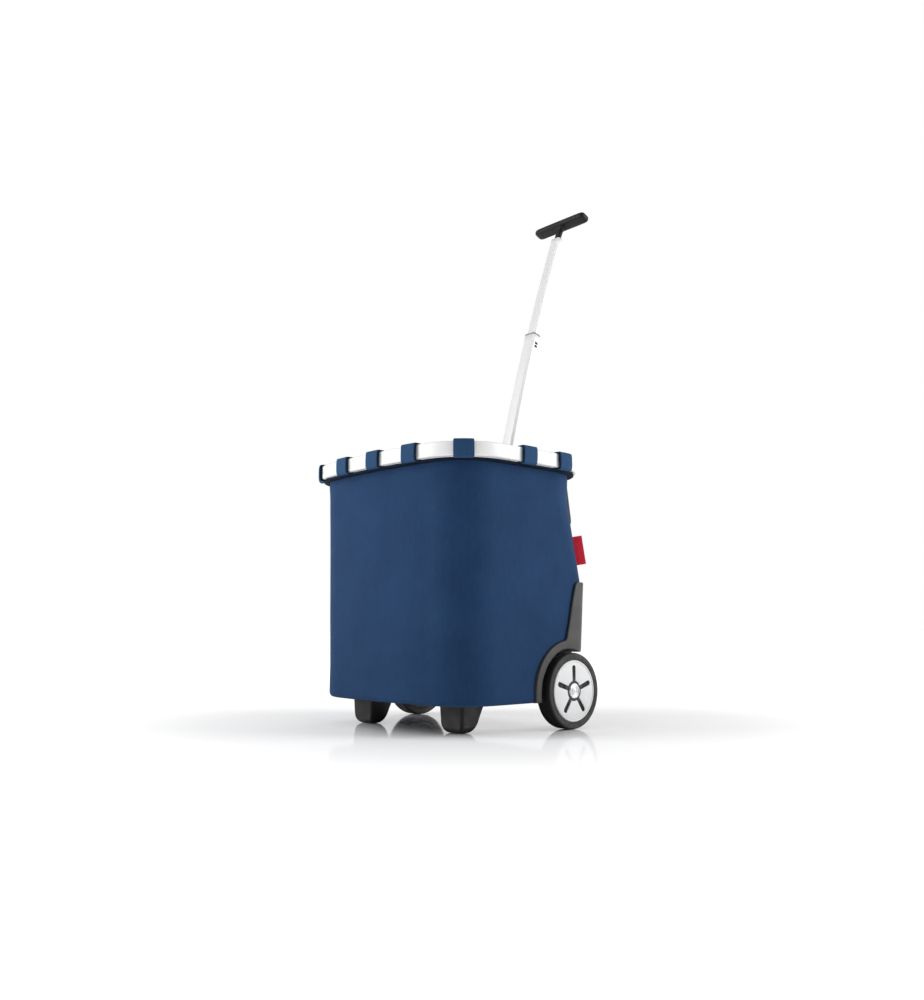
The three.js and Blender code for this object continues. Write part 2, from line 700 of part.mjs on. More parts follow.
function addFeet() {
  const top = BAG_BOTTOM - GAP;
  const levels = [
    [0, FOOT_BOTTOM_WIDTH - 16, 6, FOOT_BOTTOM_DEPTH - 14],
    [1.2, FOOT_BOTTOM_WIDTH - 9, 3.2, FOOT_BOTTOM_DEPTH - 8],
    [3.6, FOOT_BOTTOM_WIDTH - 3.4, 1.2, FOOT_BOTTOM_DEPTH - 3],
    [8, FOOT_BOTTOM_WIDTH, 0, FOOT_BOTTOM_DEPTH],
    [top, FOOT_TOP_WIDTH, -1, FOOT_TOP_DEPTH],
  ];
  for (const [side, sign] of SIDES) {
    const frames = levels.map(([z, w, shift, d]) => {
      const front = FOOT_FRONT + shift;
      return (p) => new THREE.Vector3(sign * FOOT_X + p.x * w, front + d / 2 + p.y * d, z);
    });
    const unit = roundedRect(1, 1, 0.12, 3);
    const y = screwY();
    const x = sign * FOOT_X;
    const foot = sweep(unit, frames)
      .subtract(cylinderZ(SCREW_RADIUS + GAP, -1, 60, x, y))
      .subtract(cylinderZ(5.2, -1, 22, x, y));
    add("foot_" + side, foot, BLACK_PLASTIC);
    const screw = cylinderZ(SCREW_RADIUS, 19, 52, x, y).add(cylinderZ(4.6, 18, 21.6, x, y));
    add("foot_screw_" + side, screw, STEEL);
  }
}

// ---------------------------------------------------------------- chassis
function addChassis() {
  const proud = bagBody(
    0,
    BAG_BOTTOM,
    CHASSIS_TOP + 20,
    3,
    CHASSIS_PROUD_SIDE,
    CHASSIS_PROUD_BACK,
  );
  const bagRoom = bagBody(-GAP, BAG_BOTTOM - 20, CHASSIS_TOP + 30, 0);
  const sideShape = alongX(housingProfile(0), -240, 240).add(alongX(uprightProfile(), -240, 240));
  const window = box(
    -BACK_WINDOW_HALF,
    BACK_WINDOW_HALF,
    0,
    240,
    BACK_WINDOW_SILL,
    CHASSIS_TOP + 20,
  );
  let chassis = proud.subtract(bagRoom).intersect(sideShape).subtract(window);
  const wall = WELL_WALL;
  for (const sign of [1, -1]) {
    const [x0, x1] = sign > 0 ? [wall, 240] : [-240, -wall];
    chassis = chassis.add(alongX(housingProfile(0), x0, x1).intersect(proud));
  }
  const beam = box(-wall - 1, wall + 1, BEAM_FRONT, 240, BAG_BOTTOM, BEAM_TOP).intersect(proud);
  chassis = chassis.add(beam);
  for (let i = 0; i < 4; i++) {
    const x = (i - 1.5) * (BEAM_POCKET + PLASTIC);
    const half = BEAM_POCKET / 2;
    const roof = BEAM_TOP - PLASTIC;
    chassis = chassis.subtract(box(x - half, x + half, BEAM_FRONT + PLASTIC, 138, 0, roof));
  }
  for (const sign of [1, -1]) {
    chassis = chassis.subtract(wheelWell(sign));
  }
  const bore = AXLE_RADIUS + RUNNING_GAP;
  chassis = chassis.subtract(cylinderX(bore, -240, 240, AXLE_Y, WHEEL_RADIUS));
  add("chassis", chassis, DARK_PLASTIC);
}

// ---------------------------------------------------------------- axle and wheels
function addAxle() {
  const half = WHEEL_OUTER_FACE - 6;
  add("axle", cylinderX(AXLE_RADIUS, -half, half, AXLE_Y, WHEEL_RADIUS), STEEL);
}

function tyreProfile() {
  const h = WHEEL_WIDTH / 2;
  const r = WHEEL_RADIUS;
  const inner = DISC_RADIUS + GAP;
  return [
    [inner, -h + 1],
    [inner + 1, -h],
    [r - 2.6, -h + 0.2],
    [r - 0.8, -h + 1.4],
    [r, -h + 4],
    [r, h - 4],
    [r - 0.8, h - 1.4],
    [r - 2.6, h - 0.2],
    [inner + 1, h],
    [inner, h - 1],
    [inner, -h + 1],
  ];
}

// Five tapering slots with rounded ends, and a round middle, grown by a margin.
function starPrism(x0, x1, reach, endRadius, middle, grow = 0) {
  const centre = new THREE.Vector2(AXLE_Y, WHEEL_RADIUS);
  const root = middle - SLOT_ROOT_RADIUS;
  const tip = endRadius + grow;
  const base = SLOT_ROOT_RADIUS + grow;
  const round = Array.from({ length: 20 }, (_, i) => {
    const angle = (i * Math.PI) / 10;
    return new THREE.Vector2(Math.cos(angle), Math.sin(angle))
      .multiplyScalar(middle + grow)
      .add(centre);
  });
  let star = alongX(round, x0, x1);
  for (let arm = 0; arm < 5; arm++) {
    const turn = Math.PI / 2 + (arm * 2 * Math.PI) / 5;
    const outline = [
      [root - 4, -base],
      [root, -base],
    ];
    for (let i = 0; i <= 6; i++) {
      const angle = -Math.PI / 2 + (i * Math.PI) / 6;
      outline.push([reach + tip * Math.cos(angle), tip * Math.sin(angle)]);
    }
    outline.push([root, base], [root - 4, base]);
    const points = outline.map(([x, y]) =>
      new THREE.Vector2(x, y).rotateAround(new THREE.Vector2(), turn).add(centre),
    );
    star = star.add(alongX(points, x0, x1));
  }
  return star;
}

function discProfile() {
  const h = WHEEL_WIDTH / 2;
  return [
    [HUB_CAP_RADIUS + GAP, h - 6],
    [DISC_RADIUS, h - 6],
    [DISC_RADIUS, h - 1],
    [DISC_RADIUS - 1.2, h + 0.2],
    [DISC_RADIUS - 3, h + 0.2],
    [DISC_RADIUS - 5, h - 1.2],
    [30, h - 0.2],
    [HUB_CAP_RADIUS + GAP, h],
    [HUB_CAP_RADIUS + GAP, h - 6],
  ];
}

function coreProfile() {
  const h = WHEEL_WIDTH / 2;
  const bore = BUSH_RADIUS + GAP;
  return [
    [bore, -h],
    [15, -h],
    [17, -h + 8],
    [40, -h + 8],
    [42, -h + 1],
    [DISC_RADIUS, -h + 1],
    [DISC_RADIUS, h - 6 - GAP],
    [HUB_STAR_REACH + 8, h - 6 - GAP],
    [HUB_STAR_REACH + 8, h - STAR_RECESS],
    [HUB_CAP_RADIUS + GAP, h - STAR_RECESS],
    [HUB_CAP_RADIUS + GAP, h - 6 - GAP],
    [bore, h - 6 - GAP],
    [bore, -h],
  ];
}

function capProfile() {
  const h = WHEEL_WIDTH / 2;
  return [
    [8.6, h - 6],
    [HUB_CAP_RADIUS, h - 6],
    [HUB_CAP_RADIUS, h - 0.4],
    [HUB_CAP_RADIUS - 1, h + 1],
    [8.4, h + 1.5],
    [7.8, h + 1.1],
    [5, h + 1.4],
    [4.4, h + 1.9],
    [0, h + 2],
    [0, h - 2],
    [8.6, h - 2],
    [8.6, h - 6],
  ];
}

function addWheel(side, sign) {
  const middle = WHEEL_OUTER_FACE - WHEEL_WIDTH / 2;
  const h = WHEEL_WIDTH / 2;
  const span = sign > 0 ? [middle - h, middle + h + 5] : [-middle - h - 5, -middle + h];
  add("tyre_" + side, turned(tyreProfile(), middle, sign), TYRE_RUBBER);
  const slots = starPrism(span[0], span[1], SLOT_REACH, SLOT_END_RADIUS, HUB_STAR_RADIUS);
  const disc = turned(discProfile(), middle, sign).subtract(slots);
  add("wheel_disc_" + side, disc, PALE_PLASTIC);
  const face = h - 6 - GAP;
  const [x0, x1] = sign > 0 ? [middle + face, 240] : [-240, -middle - face];
  const star = starPrism(x0, x1, HUB_STAR_REACH, SLOT_ROOT_RADIUS, HUB_STAR_RADIUS, -GAP);
  const around = cylinderX(DISC_RADIUS, x0, x1, AXLE_Y, WHEEL_RADIUS).subtract(star);
  const core = turned(coreProfile(), middle, sign).subtract(around);
  add("hub_core_" + side, core, BLACK_PLASTIC);
  const bush = [
    [AXLE_RADIUS + RUNNING_GAP, -h],
    [BUSH_RADIUS, -h],
    [BUSH_RADIUS, h - 6 - GAP],
    [AXLE_RADIUS + RUNNING_GAP, h - 6 - GAP],
    [AXLE_RADIUS + RUNNING_GAP, -h],
  ];
  add("hub_bush_" + side, turned(bush, middle, sign, 24), PALE_PLASTIC);
  add("hub_cap_" + side, turned(capProfile(), middle, sign, 28), SILVER_PLASTIC);
  const nut = [
    [AXLE_RADIUS + RUNNING_GAP, h - 5.7],
    [7.2, h - 5.7],
    [7.2, h - 4.2],
    [AXLE_RADIUS + RUNNING_GAP, h - 4.2],
    [AXLE_RADIUS + RUNNING_GAP, h - 5.7],
  ];
  add("push_nut_" + side, turned(nut, middle, sign, 24), STEEL);
  const inner = WELL_WALL + PLASTIC + GAP - middle;
  const spacer = [
    [AXLE_RADIUS + RUNNING_GAP, inner],
    [BUSH_RADIUS, inner],
    [BUSH_RADIUS, -h - GAP],
    [AXLE_RADIUS + RUNNING_GAP, -h - GAP],
    [AXLE_RADIUS + RUNNING_GAP, inner],
  ];
  add("axle_spacer_" + side, turned(spacer, middle, sign, 24), BLACK_PLASTIC);
}

// ---------------------------------------------------------------- pole
function addFixedPole() {
  add("pole_outer_tube", poleTube(OUTER_TUBE), POLE_ALUMINIUM);
  const room = poleBar(OUTER_TUBE, OUTER_TUBE.from, SOCKET.to + 1, GAP);
  add("pole_socket", poleBar(SOCKET, SOCKET.from, SOCKET.to).subtract(room), BLACK_PLASTIC);
  const guideFrom = OUTER_TUBE.to + GAP;
  const guide = poleRing(OUTER_TUBE, guideFrom, guideFrom + 4, LOWER_TUBE, GAP);
  add("pole_guide_ring", guide, BLACK_PLASTIC);
  const face = RIM_HALF_DEPTH - RIM_THICK - 1;
  const block = box(-33, 33, POLE_Y - 24, face, RIM_TOP - RIM_HEIGHT + 2, RIM_TOP - 13);
  const hole = poleBar(OUTER_TUBE, -60, 20, GAP);
  add("pole_bracket", block.subtract(hole), BLACK_PLASTIC);
}

// A guide clip's block across the pole's side wall, at a distance along the pole.
function clipBlock(at, x0, x1, grow = 0) {
  const section = roundedRect(x1 - x0, CLIP_WIDTH + 2 * grow, 0.4);
  const half = CLIP_HEIGHT / 2 + grow;
  const middle = (x0 + x1) / 2;
  const frames = [at - half, at + half].map((distance) => {
    const place = poleFrame(distance);
    return (p) => place(new THREE.Vector2(p.x + middle, p.y));
  });
  return sweep(section, frames);
}

function addLowerStage() {
  const side = LOWER_TUBE.w / 2;
  let tube = poleTube(LOWER_TUBE);
  for (const at of CLIPS_AT) {
    tube = tube.subtract(clipBlock(at, 5, side + 5, GAP));
  }
  add("lower_stage_tube", tube, POLE_ALUMINIUM);
  const bushTop = LOWER_TUBE.from - GAP;
  const bush = { w: LOWER_TUBE.w + 0.9, d: LOWER_TUBE.d + 0.9, r: LOWER_TUBE.r + 0.4 };
  add("lower_stage_bush", poleBar(bush, bushTop - BUSH_LENGTH, bushTop), BLACK_PLASTIC);
  const collarFrom = LOWER_TUBE.to + GAP;
  const collar = poleRing(LOWER_TUBE, collarFrom, collarFrom + COLLAR_HEIGHT, UPPER_TUBE, GAP);
  add("lower_stage_collar", collar, DARK_PLASTIC);
  const inner = UPPER_TUBE.w / 2 + 0.6;
  CLIPS_AT.forEach((at, i) => {
    add("guide_clip_" + (i + 1), clipBlock(at, inner, side + 0.5), BLACK_PLASTIC);
  });
}

function addUpperStage() {
  const tube = poleTube(UPPER_TUBE);
  add("upper_stage_tube", tube, POLE_ALUMINIUM);
  const bushTop = UPPER_TUBE.from - GAP;
  const bush = { w: UPPER_TUBE.w + 1.4, d: UPPER_TUBE.d + 0.6, r: UPPER_TUBE.r + 0.2 };
  add("upper_stage_bush", poleBar(bush, bushTop - BUSH_LENGTH, bushTop), BLACK_PLASTIC);
  const top = UPPER_TUBE.to;
  const neckTop = GRIP_CENTRE - GRIP_HEIGHT / 2 - GAP;
  const inside = {
    w: UPPER_TUBE.w - 2 * (UPPER_TUBE.wall + GAP),
    d: UPPER_TUBE.d - 2 * (UPPER_TUBE.wall + GAP),
    r: UPPER_TUBE.r - UPPER_TUBE.wall - GAP,
  };
  const plug = poleBar(inside, top - NECK_PLUG, top + 0.8);
  const flare = [
    [top + GAP, 20, 12.2],
    [top + 2, 15, 11],
    [top + 6, 13.2, 9.8],
    [neckTop - 8, 13.6, 10],
    [neckTop - 3, 17, 13],
    [neckTop, 25, 18],
  ].map(([at, w, d]) => {
    const place = poleFrame(at);
    return (p) => place(new THREE.Vector2(p.x * w, p.y * d));
  });
  add("grip_neck", sweep(roundedRect(1, 1, 0.35), flare).add(plug), BLACK_PLASTIC);
  addGrip();
}

function addGrip() {
  const place = poleFrame(GRIP_CENTRE);
  const centre = place(new THREE.Vector2(0, 0));
  const ahead = place(new THREE.Vector2(0, 1)).sub(centre);
  const up = new THREE.Vector3(0, -ahead.z, ahead.y).multiplyScalar(ahead.y > 0 ? 1 : -1);
  const section = roundedRect(GRIP_DEPTH, GRIP_HEIGHT, 6, 4);
  const frame = (x, scale) => (p) =>
    centre
      .clone()
      .addScaledVector(ahead, p.x * scale)
      .addScaledVector(up, p.y * scale)
      .setX(x);
  const end = GRIP_HALF - GRIP_END;
  add("grip_bar", sweep(section, [frame(-end, 1), frame(end, 1)]), BLACK_PLASTIC);
  for (const [side, sign] of SIDES) {
    const steps = [
      [0, 1],
      [7, 1],
      [11, 0.95],
      [14.4, 0.82],
      [16.4, 0.6],
      [GRIP_END - GAP, 0.3],
    ];
    const frames = steps.map(([out, scale]) => frame(sign * (end + GAP + out), scale));
    add("grip_end_" + side, sweep(section, frames), BLACK_PLASTIC);
  }
}

addRim();
addStraps();
addBag();
addBaseBoard();
addTag();
addHooks();
addFeet();
addChassis();
addAxle();
for (const [side, sign] of SIDES) {
  addWheel(side, sign);
}
addFixedPole();
addLowerStage();
addUpperStage();

// The frame's origin is the middle of the whole trolley's footprint, on the ground.
const bounds = new THREE.Box3().setFromObject(trolley);
trolley.position.y = -(bounds.min.y + bounds.max.y) / 2;
trolley.updateMatrixWorld(true);

export default trolley;
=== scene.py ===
"""Looks of the shopping trolley: fabric bag, padded loops, satin metal, moulded plastic and rubber."""
import json
import math

import bmesh
import bpy
import numpy as np
from mathutils import Matrix, Vector, noise


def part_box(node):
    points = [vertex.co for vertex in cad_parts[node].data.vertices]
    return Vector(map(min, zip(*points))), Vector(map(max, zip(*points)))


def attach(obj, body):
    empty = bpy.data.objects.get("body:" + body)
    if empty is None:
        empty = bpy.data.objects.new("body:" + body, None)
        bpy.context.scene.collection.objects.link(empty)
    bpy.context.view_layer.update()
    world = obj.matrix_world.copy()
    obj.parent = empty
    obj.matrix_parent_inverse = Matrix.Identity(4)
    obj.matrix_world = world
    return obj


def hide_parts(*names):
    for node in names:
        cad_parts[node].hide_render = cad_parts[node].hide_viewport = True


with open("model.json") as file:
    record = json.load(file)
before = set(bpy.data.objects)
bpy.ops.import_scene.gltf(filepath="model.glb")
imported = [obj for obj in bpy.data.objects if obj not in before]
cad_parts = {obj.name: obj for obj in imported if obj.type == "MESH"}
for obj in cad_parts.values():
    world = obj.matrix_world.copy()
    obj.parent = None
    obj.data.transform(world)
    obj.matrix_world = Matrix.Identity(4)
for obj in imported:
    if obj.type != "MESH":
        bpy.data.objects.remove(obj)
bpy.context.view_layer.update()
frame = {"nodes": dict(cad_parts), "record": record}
NODES = frame["nodes"]
SIDES = (("right", 1), ("left", -1))

# ------------------------------------------------------------------ sizes, millimetres
AXLE_LOW, AXLE_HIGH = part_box("axle")
RIM_LOW, RIM_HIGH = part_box("rim_frame")
WHEEL_R = 60.5
AXLE_Y = 96.3
SHIFT = (AXLE_LOW.y + AXLE_HIGH.y) / 2 - AXLE_Y / 1000
RIM_TOP = RIM_HIGH.z * 1000
RIM_HEIGHT = (RIM_HIGH.z - RIM_LOW.z) * 1000
RIM_THICK = 8
RIM_W, RIM_D, RIM_CORNER = 209, 166, 92
BOW, SIDE_BOW = 1134, 3000
BAG_INSET, BAG_BACK_INSET, BAG_TAPER = 15, 9, 5
BAG_TOP, BAG_BOTTOM, CHASSIS_TOP = 413.6, 44, 236
HEM_OUTER, HEM_INNER = 4.2, 3.2
STRAP_WIDTH, STRAP_REACH, STRAP_THIN = 31, 6, 2.5
STRAP_SHIFT, STRAP_PITCH = 9.5, 86.5
LOOP_GAP, LOOP_ROUNDING = 0.4, 1.8
LOOP_SPOTS = (-1, -0.985, -0.955, -0.91, -0.85, -0.6, -0.3, 0, 0.3, 0.6, 0.85, 0.91, 0.955, 0.985, 1)
WHEEL_FACE, WHEEL_WIDTH = 202, 29
ARCH_R, WELL_TOP, WELL_WALL, HOUSING_BACK = 80, 140, 150, 220
BEAM_LOW, BEAM_HIGH = (44, 0), (240, 76)
DISC_R, CAP_R, BORE = 48.6, 12.2, 8.6
SLOT_REACH, SLOT_END, SLOT_ROOT = 36.5, 4.2, 3.4
HUB_STAR, STAR_REACH = 16, 19.5
POLE_ARC, POLE_LEAN, POLE_Y = 4127, math.radians(13.78), 145.5
POLE_CY = POLE_Y + POLE_ARC * math.cos(POLE_LEAN)
POLE_CZ = 441.8 - POLE_ARC * math.sin(POLE_LEAN)
GRIP_AT, GRIP_HALF, GRIP_DEPTH, GRIP_HEIGHT = 555.5, 64.5, 25, 13
TUBE_TOP = 518.5
TAG_Z, TAG_HEIGHT, TAG_WIDTH = 265, 48, 14.5
CLIPS_AT, CLIP_WIDTH, CLIP_HEIGHT = (270.6, 264), 6.4, 4.6
CLIP_INNER, CLIP_OUTER = 12.8, 15.65
FAR_SIDE = 240
FOOT_X, FOOT_Y = 111.5, -90


def place(x, y, z):
    """A point of the trolley's own plan, in millimetres, as a point of the row frame in metres."""
    return Vector((x / 1000, y / 1000 + SHIFT, z / 1000))


# ------------------------------------------------------------------ mesh helpers
def link(name, mesh):
    obj = bpy.data.objects.new(name, mesh)
    bpy.context.scene.collection.objects.link(obj)
    return obj


def smooth(obj, angle=35):
    mesh = obj.data
    mesh.polygons.foreach_set("use_smooth", [True] * len(mesh.polygons))
    mesh.set_sharp_from_angle(angle=math.radians(angle))
    mesh.update()
    return obj


def skin(name, rings, loop=False, uv=None, caps=True, angle=35):
    """Quads over rings of equal length; uv gives each ring point its coordinates in metres."""
    n = len(rings[0])
    verts = [p for ring in rings for p in ring]
    faces = []
    loops = []
    spans = len(rings) if loop else len(rings) - 1
    for i in range(spans):
        a, b = i * n, (i + 1) % len(rings) * n
        for j in range(n):
            k = (j + 1) % n
            faces.append((a + j, a + k, b + k, b + j))
            if uv:
                loops += [uv(i, j), uv(i, j + 1), uv(i + 1, j + 1), uv(i + 1, j)]
    if caps and not loop:
        faces.append(tuple(reversed(range(n))))
        faces.append(tuple(range((len(rings) - 1) * n, len(rings) * n)))
        if uv:
            loops += [(verts[j].x, verts[j].y) for j in faces[-2]]
            loops += [(verts[j].x, verts[j].y) for j in faces[-1]]
    mesh = bpy.data.meshes.new(name)
    mesh.from_pydata(verts, [], faces)
    if uv:
        layer = mesh.uv_layers.new(name="UVMap")
        layer.data.foreach_set("uv", np.array(loops, float).ravel())
    fix_normals(mesh)
    return smooth(link(name, mesh), angle)


def fix_normals(mesh):
    bm = bmesh.new()
    bm.from_mesh(mesh)
    bmesh.ops.recalc_face_normals(bm, faces=bm.faces)
    if bm.calc_volume(signed=True) < 0:
        bmesh.ops.reverse_faces(bm, faces=bm.faces)
    bm.to_mesh(mesh)
    bm.free()


def rounded_rect(w, d, r, steps=8):
    points = []
    a, b = w / 2 - r, d / 2 - r
    for quarter, (x, y) in enumerate(((a, b), (-a, b), (-a, -b), (a, -b))):
        for i in range(steps + 1):
            turn = (quarter + i / steps) * math.pi / 2
            points.append((x + r * math.cos(turn), y + r * math.sin(turn)))
    return points


def finish_piece(obj, body, material, slot, *nodes):
    obj.data.materials.clear()
    obj.data.materials.append(material)
    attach(obj, body)
    if nodes:
        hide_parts(*nodes)
    return obj


def apply_modifiers(obj):
    mesh = bpy.data.meshes.new_from_object(obj.evaluated_get(bpy.context.evaluated_depsgraph_get()))
    obj.modifiers.clear()
    old = obj.data
    obj.data = mesh
    bpy.data.meshes.remove(old)
    return obj


def cut(obj, cutter, how="DIFFERENCE"):
    modifier = obj.modifiers.new("cut", "BOOLEAN")
    modifier.operation = how
    modifier.solver = "MANIFOLD"
    modifier.object = cutter
    bpy.context.view_layer.update()
    apply_modifiers(obj)
    return obj


def remove(*objs):
    for obj in objs:
        mesh = obj.data
        bpy.data.objects.remove(obj)
        bpy.data.meshes.remove(mesh)


def moulded(name, node, voxel, rounds=6):
    """A moulding in the shape of a CAD node: its copy, remeshed and relaxed so that edges soften."""
    obj = link(name, NODES[node].data.copy())
    modifier = obj.modifiers.new("remesh", "REMESH")
    modifier.mode = "VOXEL"
    modifier.voxel_size = voxel / 1000
    relax = obj.modifiers.new("relax", "SMOOTH")
    relax.factor = 0.5
    relax.iterations = rounds
    bpy.context.view_layer.update()
    apply_modifiers(obj)
    return smooth(obj, 60)


# ------------------------------------------------------------------ the oval plan
def corner_arc(a, b, bow, side_bow, corner):
    bow_c = Vector((0, b - bow))
    side_c = Vector((a - side_bow, 0))
    r1, r2 = bow - corner, side_bow - corner
    between = side_c - bow_c
    length = between.length
    along = (r1 * r1 - r2 * r2 + length * length) / (2 * length)
    across = math.sqrt(r1 * r1 - along * along)
    unit = between / length
    base = bow_c + unit * along
    normal = Vector((-unit.y, unit.x))
    centre = max((base + normal * across, base - normal * across), key=lambda p: p.x + p.y)
    return centre, math.atan2(*(centre - side_c).yx), math.atan2(*(centre - bow_c).yx)


def plan_arcs(plan, inset=0.0):
    """Eight arcs, anticlockwise from the front one: centre, radius, first and last angle, and kind of arc."""
    a, front, back, corner_f, corner_b, bow, side_bow = plan
    cf, f_side, f_bow = corner_arc(a, front, bow, side_bow, corner_f)
    cb, b_side, b_bow = corner_arc(a, back, bow, side_bow, corner_b)
    pi = math.pi
    rows = (
        (0, bow - front, bow, f_bow - pi, -f_bow, 0),
        (cf.x, -cf.y, corner_f, -f_bow, -f_side, 1),
        (a - side_bow, 0, side_bow, -f_side, b_side, 2),
        (cb.x, cb.y, corner_b, b_side, b_bow, 1),
        (0, back - bow, bow, b_bow, pi - b_bow, 0),
        (-cb.x, cb.y, corner_b, pi - b_bow, pi - b_side, 1),
        (side_bow - a, 0, side_bow, pi - b_side, pi + f_side, 2),
        (-cf.x, -cf.y, corner_f, pi + f_side, pi + f_bow, 1),
    )
    return [(x, y, r - inset, start, end, kind) for x, y, r, start, end, kind in rows]


def plan_points(plan, inset=0.0, steps=(28, 18, 16)):
    """Plan points with their outward directions."""
    points = []
    for x, y, r, start, end, kind in plan_arcs(plan, inset):
        for i in range(steps[kind]):
            a = start + (end - start) * i / steps[kind]
            points.append((x + r * math.cos(a), y + r * math.sin(a), math.cos(a), math.sin(a)))
    return points


def plan_at(plan, distance):
    arcs = plan_arcs(plan)
    half = arcs[0][2] * (arcs[0][4] - arcs[0][3]) / 2
    total = sum(r * (end - start) for _, _, r, start, end, _ in arcs)
    left = (distance + half) % total
    for x, y, r, start, end, _ in arcs:
        length = r * (end - start)
        if left <= length:
            a = start + left / r
            return x + r * math.cos(a), y + r * math.sin(a), math.cos(a), math.sin(a)
        left -= length
    return plan_at(plan, 0)


def plan_distance(plan, x, y):
    return min(range(1400), key=lambda d: math.dist(plan_at(plan, d)[:2], (x, y)))


RIM_PLAN = (RIM_W, RIM_D, RIM_D, RIM_CORNER, RIM_CORNER, BOW, SIDE_BOW)


def smoothstep(x, low, high):
    t = min(max((x - low) / (high - low), 0), 1)
    return t * t * (3 - 2 * t)


def bag_plan(z, grow=0.0):
    down = min(max((BAG_TOP - z) / (BAG_TOP - BAG_BOTTOM), 0), 1)
    square = min(max((BAG_TOP - 43.6 - z) / (BAG_TOP - 43.6 - CHASSIS_TOP), 0), 1)
    low_back = min(max((CHASSIS_TOP - z) / (CHASSIS_TOP - BAG_BOTTOM), 0), 1)
    return (
        RIM_W - BAG_INSET - BAG_TAPER * down + grow,
        RIM_D - BAG_INSET - BAG_TAPER * down + grow,
        RIM_D - BAG_BACK_INSET + 3 * square - 12 * low_back + grow,
        72.4 + grow,
        88 + (29 - 88) * square + grow,
        BOW,
        SIDE_BOW,
    )


# ------------------------------------------------------------------ materials
EDGE_SHADE = 0.0014
STITCH_PITCH = 0.004


class Paint:
    """A material's node tree with short calls for adding nodes."""

    def __init__(self, name, color, roughness=0.5, metallic=0.0, **sockets):
        self.material = bpy.data.materials.new(name)
        self.material.use_nodes = True
        self.tree = self.material.node_tree
        self.shader = self.tree.nodes["Principled BSDF"]
        self.set(self.shader, **{"Base Color": (*color, 1), "Roughness": roughness, "Metallic": metallic})
        self.set(self.shader, **{key.replace("_", " "): value for key, value in sockets.items()})

    def set(self, target, **values):
        for key, value in values.items():
            numbered = key[0] == "i" and key[1:].isdigit()
            socket = target.inputs[int(key[1:]) if numbered else key]
            if isinstance(value, bpy.types.NodeSocket):
                self.tree.links.new(value, socket)
            else:
                socket.default_value = value
        return target

    def node(self, kind, properties=None, **inputs):
        made = self.tree.nodes.new("ShaderNode" + kind)
        for key, value in (properties or {}).items():
            setattr(made, key, value)
        return self.set(made, **inputs)

    def math(self, operation, a, b=0.0):
        return self.node("Math", {"operation": operation}, i0=a, i1=b).outputs[0]

    def span(self, value, low, high, to_low, to_high):
        inputs = {"Value": value, "From Min": low, "From Max": high, "To Min": to_low, "To Max": to_high}
        return self.node("MapRange", None, **inputs).outputs[0]

    def noise(self, coordinate, scale, detail=3.0, stretch=None):
        if stretch:
            coordinate = self.node("Mapping", None, Vector=coordinate, Scale=stretch).outputs[0]
        inputs = {"Vector": coordinate, "Scale": scale, "Detail": detail}
        return self.node("TexNoise", None, **inputs).outputs[0]

    def where(self):
        return self.node("TexCoord").outputs["Object"]

    def tint(self, factor, dark, light):
        mix = self.node("Mix", {"data_type": "RGBA"})
        self.set(mix, i0=factor, i6=(*dark, 1), i7=(*light, 1))
        self.set(self.shader, **{"Base Color": mix.outputs[2]})
        return mix.outputs[2]

    def roughen(self, value):
        self.set(self.shader, Roughness=value)

    def bump(self, height, strength, distance=0.001):
        made = self.node("Bump", None, Strength=strength, Distance=distance, Height=height)
        self.set(self.shader, Normal=made.outputs[0])


def fabric(name, dark, light, pitch=0.0011, stitch=None, sheen=0.06, edges=None):
    """Plain weave on UVs in metres, with slubs, soft shade changes, stitching and painted shade along the
    side edges.
    """
    paint = Paint(name, light, 0.85, Sheen_Weight=sheen, Sheen_Roughness=0.5, Specular_IOR_Level=0.12)
    paint.set(paint.shader, **{"Sheen Tint": (0.35, 0.6, 1.0, 1)})
    uv = paint.node("UVMap").outputs[0]
    parts = paint.node("SeparateXYZ", None, Vector=uv)
    turns = 2 * math.pi / pitch
    warp = paint.math("SINE", paint.math("MULTIPLY", parts.outputs[0], turns))
    weft = paint.math("SINE", paint.math("MULTIPLY", parts.outputs[1], turns))
    weave = paint.math("MULTIPLY", warp, weft)
    where = paint.where()
    cloud = paint.noise(where, 14, 4)
    slub = paint.noise(where, 260, 2, (1, 1, 0.25))
    mottled = paint.math("ADD", paint.math("MULTIPLY", cloud, 0.75), paint.math("MULTIPLY", slub, 0.5))
    tone = paint.math("ADD", mottled, paint.math("MULTIPLY", weave, 0.10))
    factor = paint.span(tone, 0.25, 0.95, 0, 1)
    height = paint.math("ADD", paint.math("MULTIPLY", weave, 0.5), paint.math("MULTIPLY", slub, 0.6))
    if stitch:
        factor, height = stitched(paint, parts, factor, height, stitch)
    color = paint.tint(factor, dark, light)
    # painted shade: when edges is given, the bands within EDGE_SHADE of both side edges are darkened towards
    # a quarter of the dark tone
    if edges:
        low = paint.span(parts.outputs[1], 0.0, EDGE_SHADE, 1, 0)
        high = paint.span(parts.outputs[1], edges - EDGE_SHADE, edges, 0, 1)
        shade = paint.node("Mix", {"data_type": "RGBA"})
        shadow = tuple(c * 0.25 for c in dark)
        paint.set(shade, i0=paint.math("MAXIMUM", low, high), i6=color, i7=(*shadow, 1))
        paint.set(paint.shader, **{"Base Color": shade.outputs[2]})
    paint.bump(height, 0.35, 0.0004)
    return paint.material


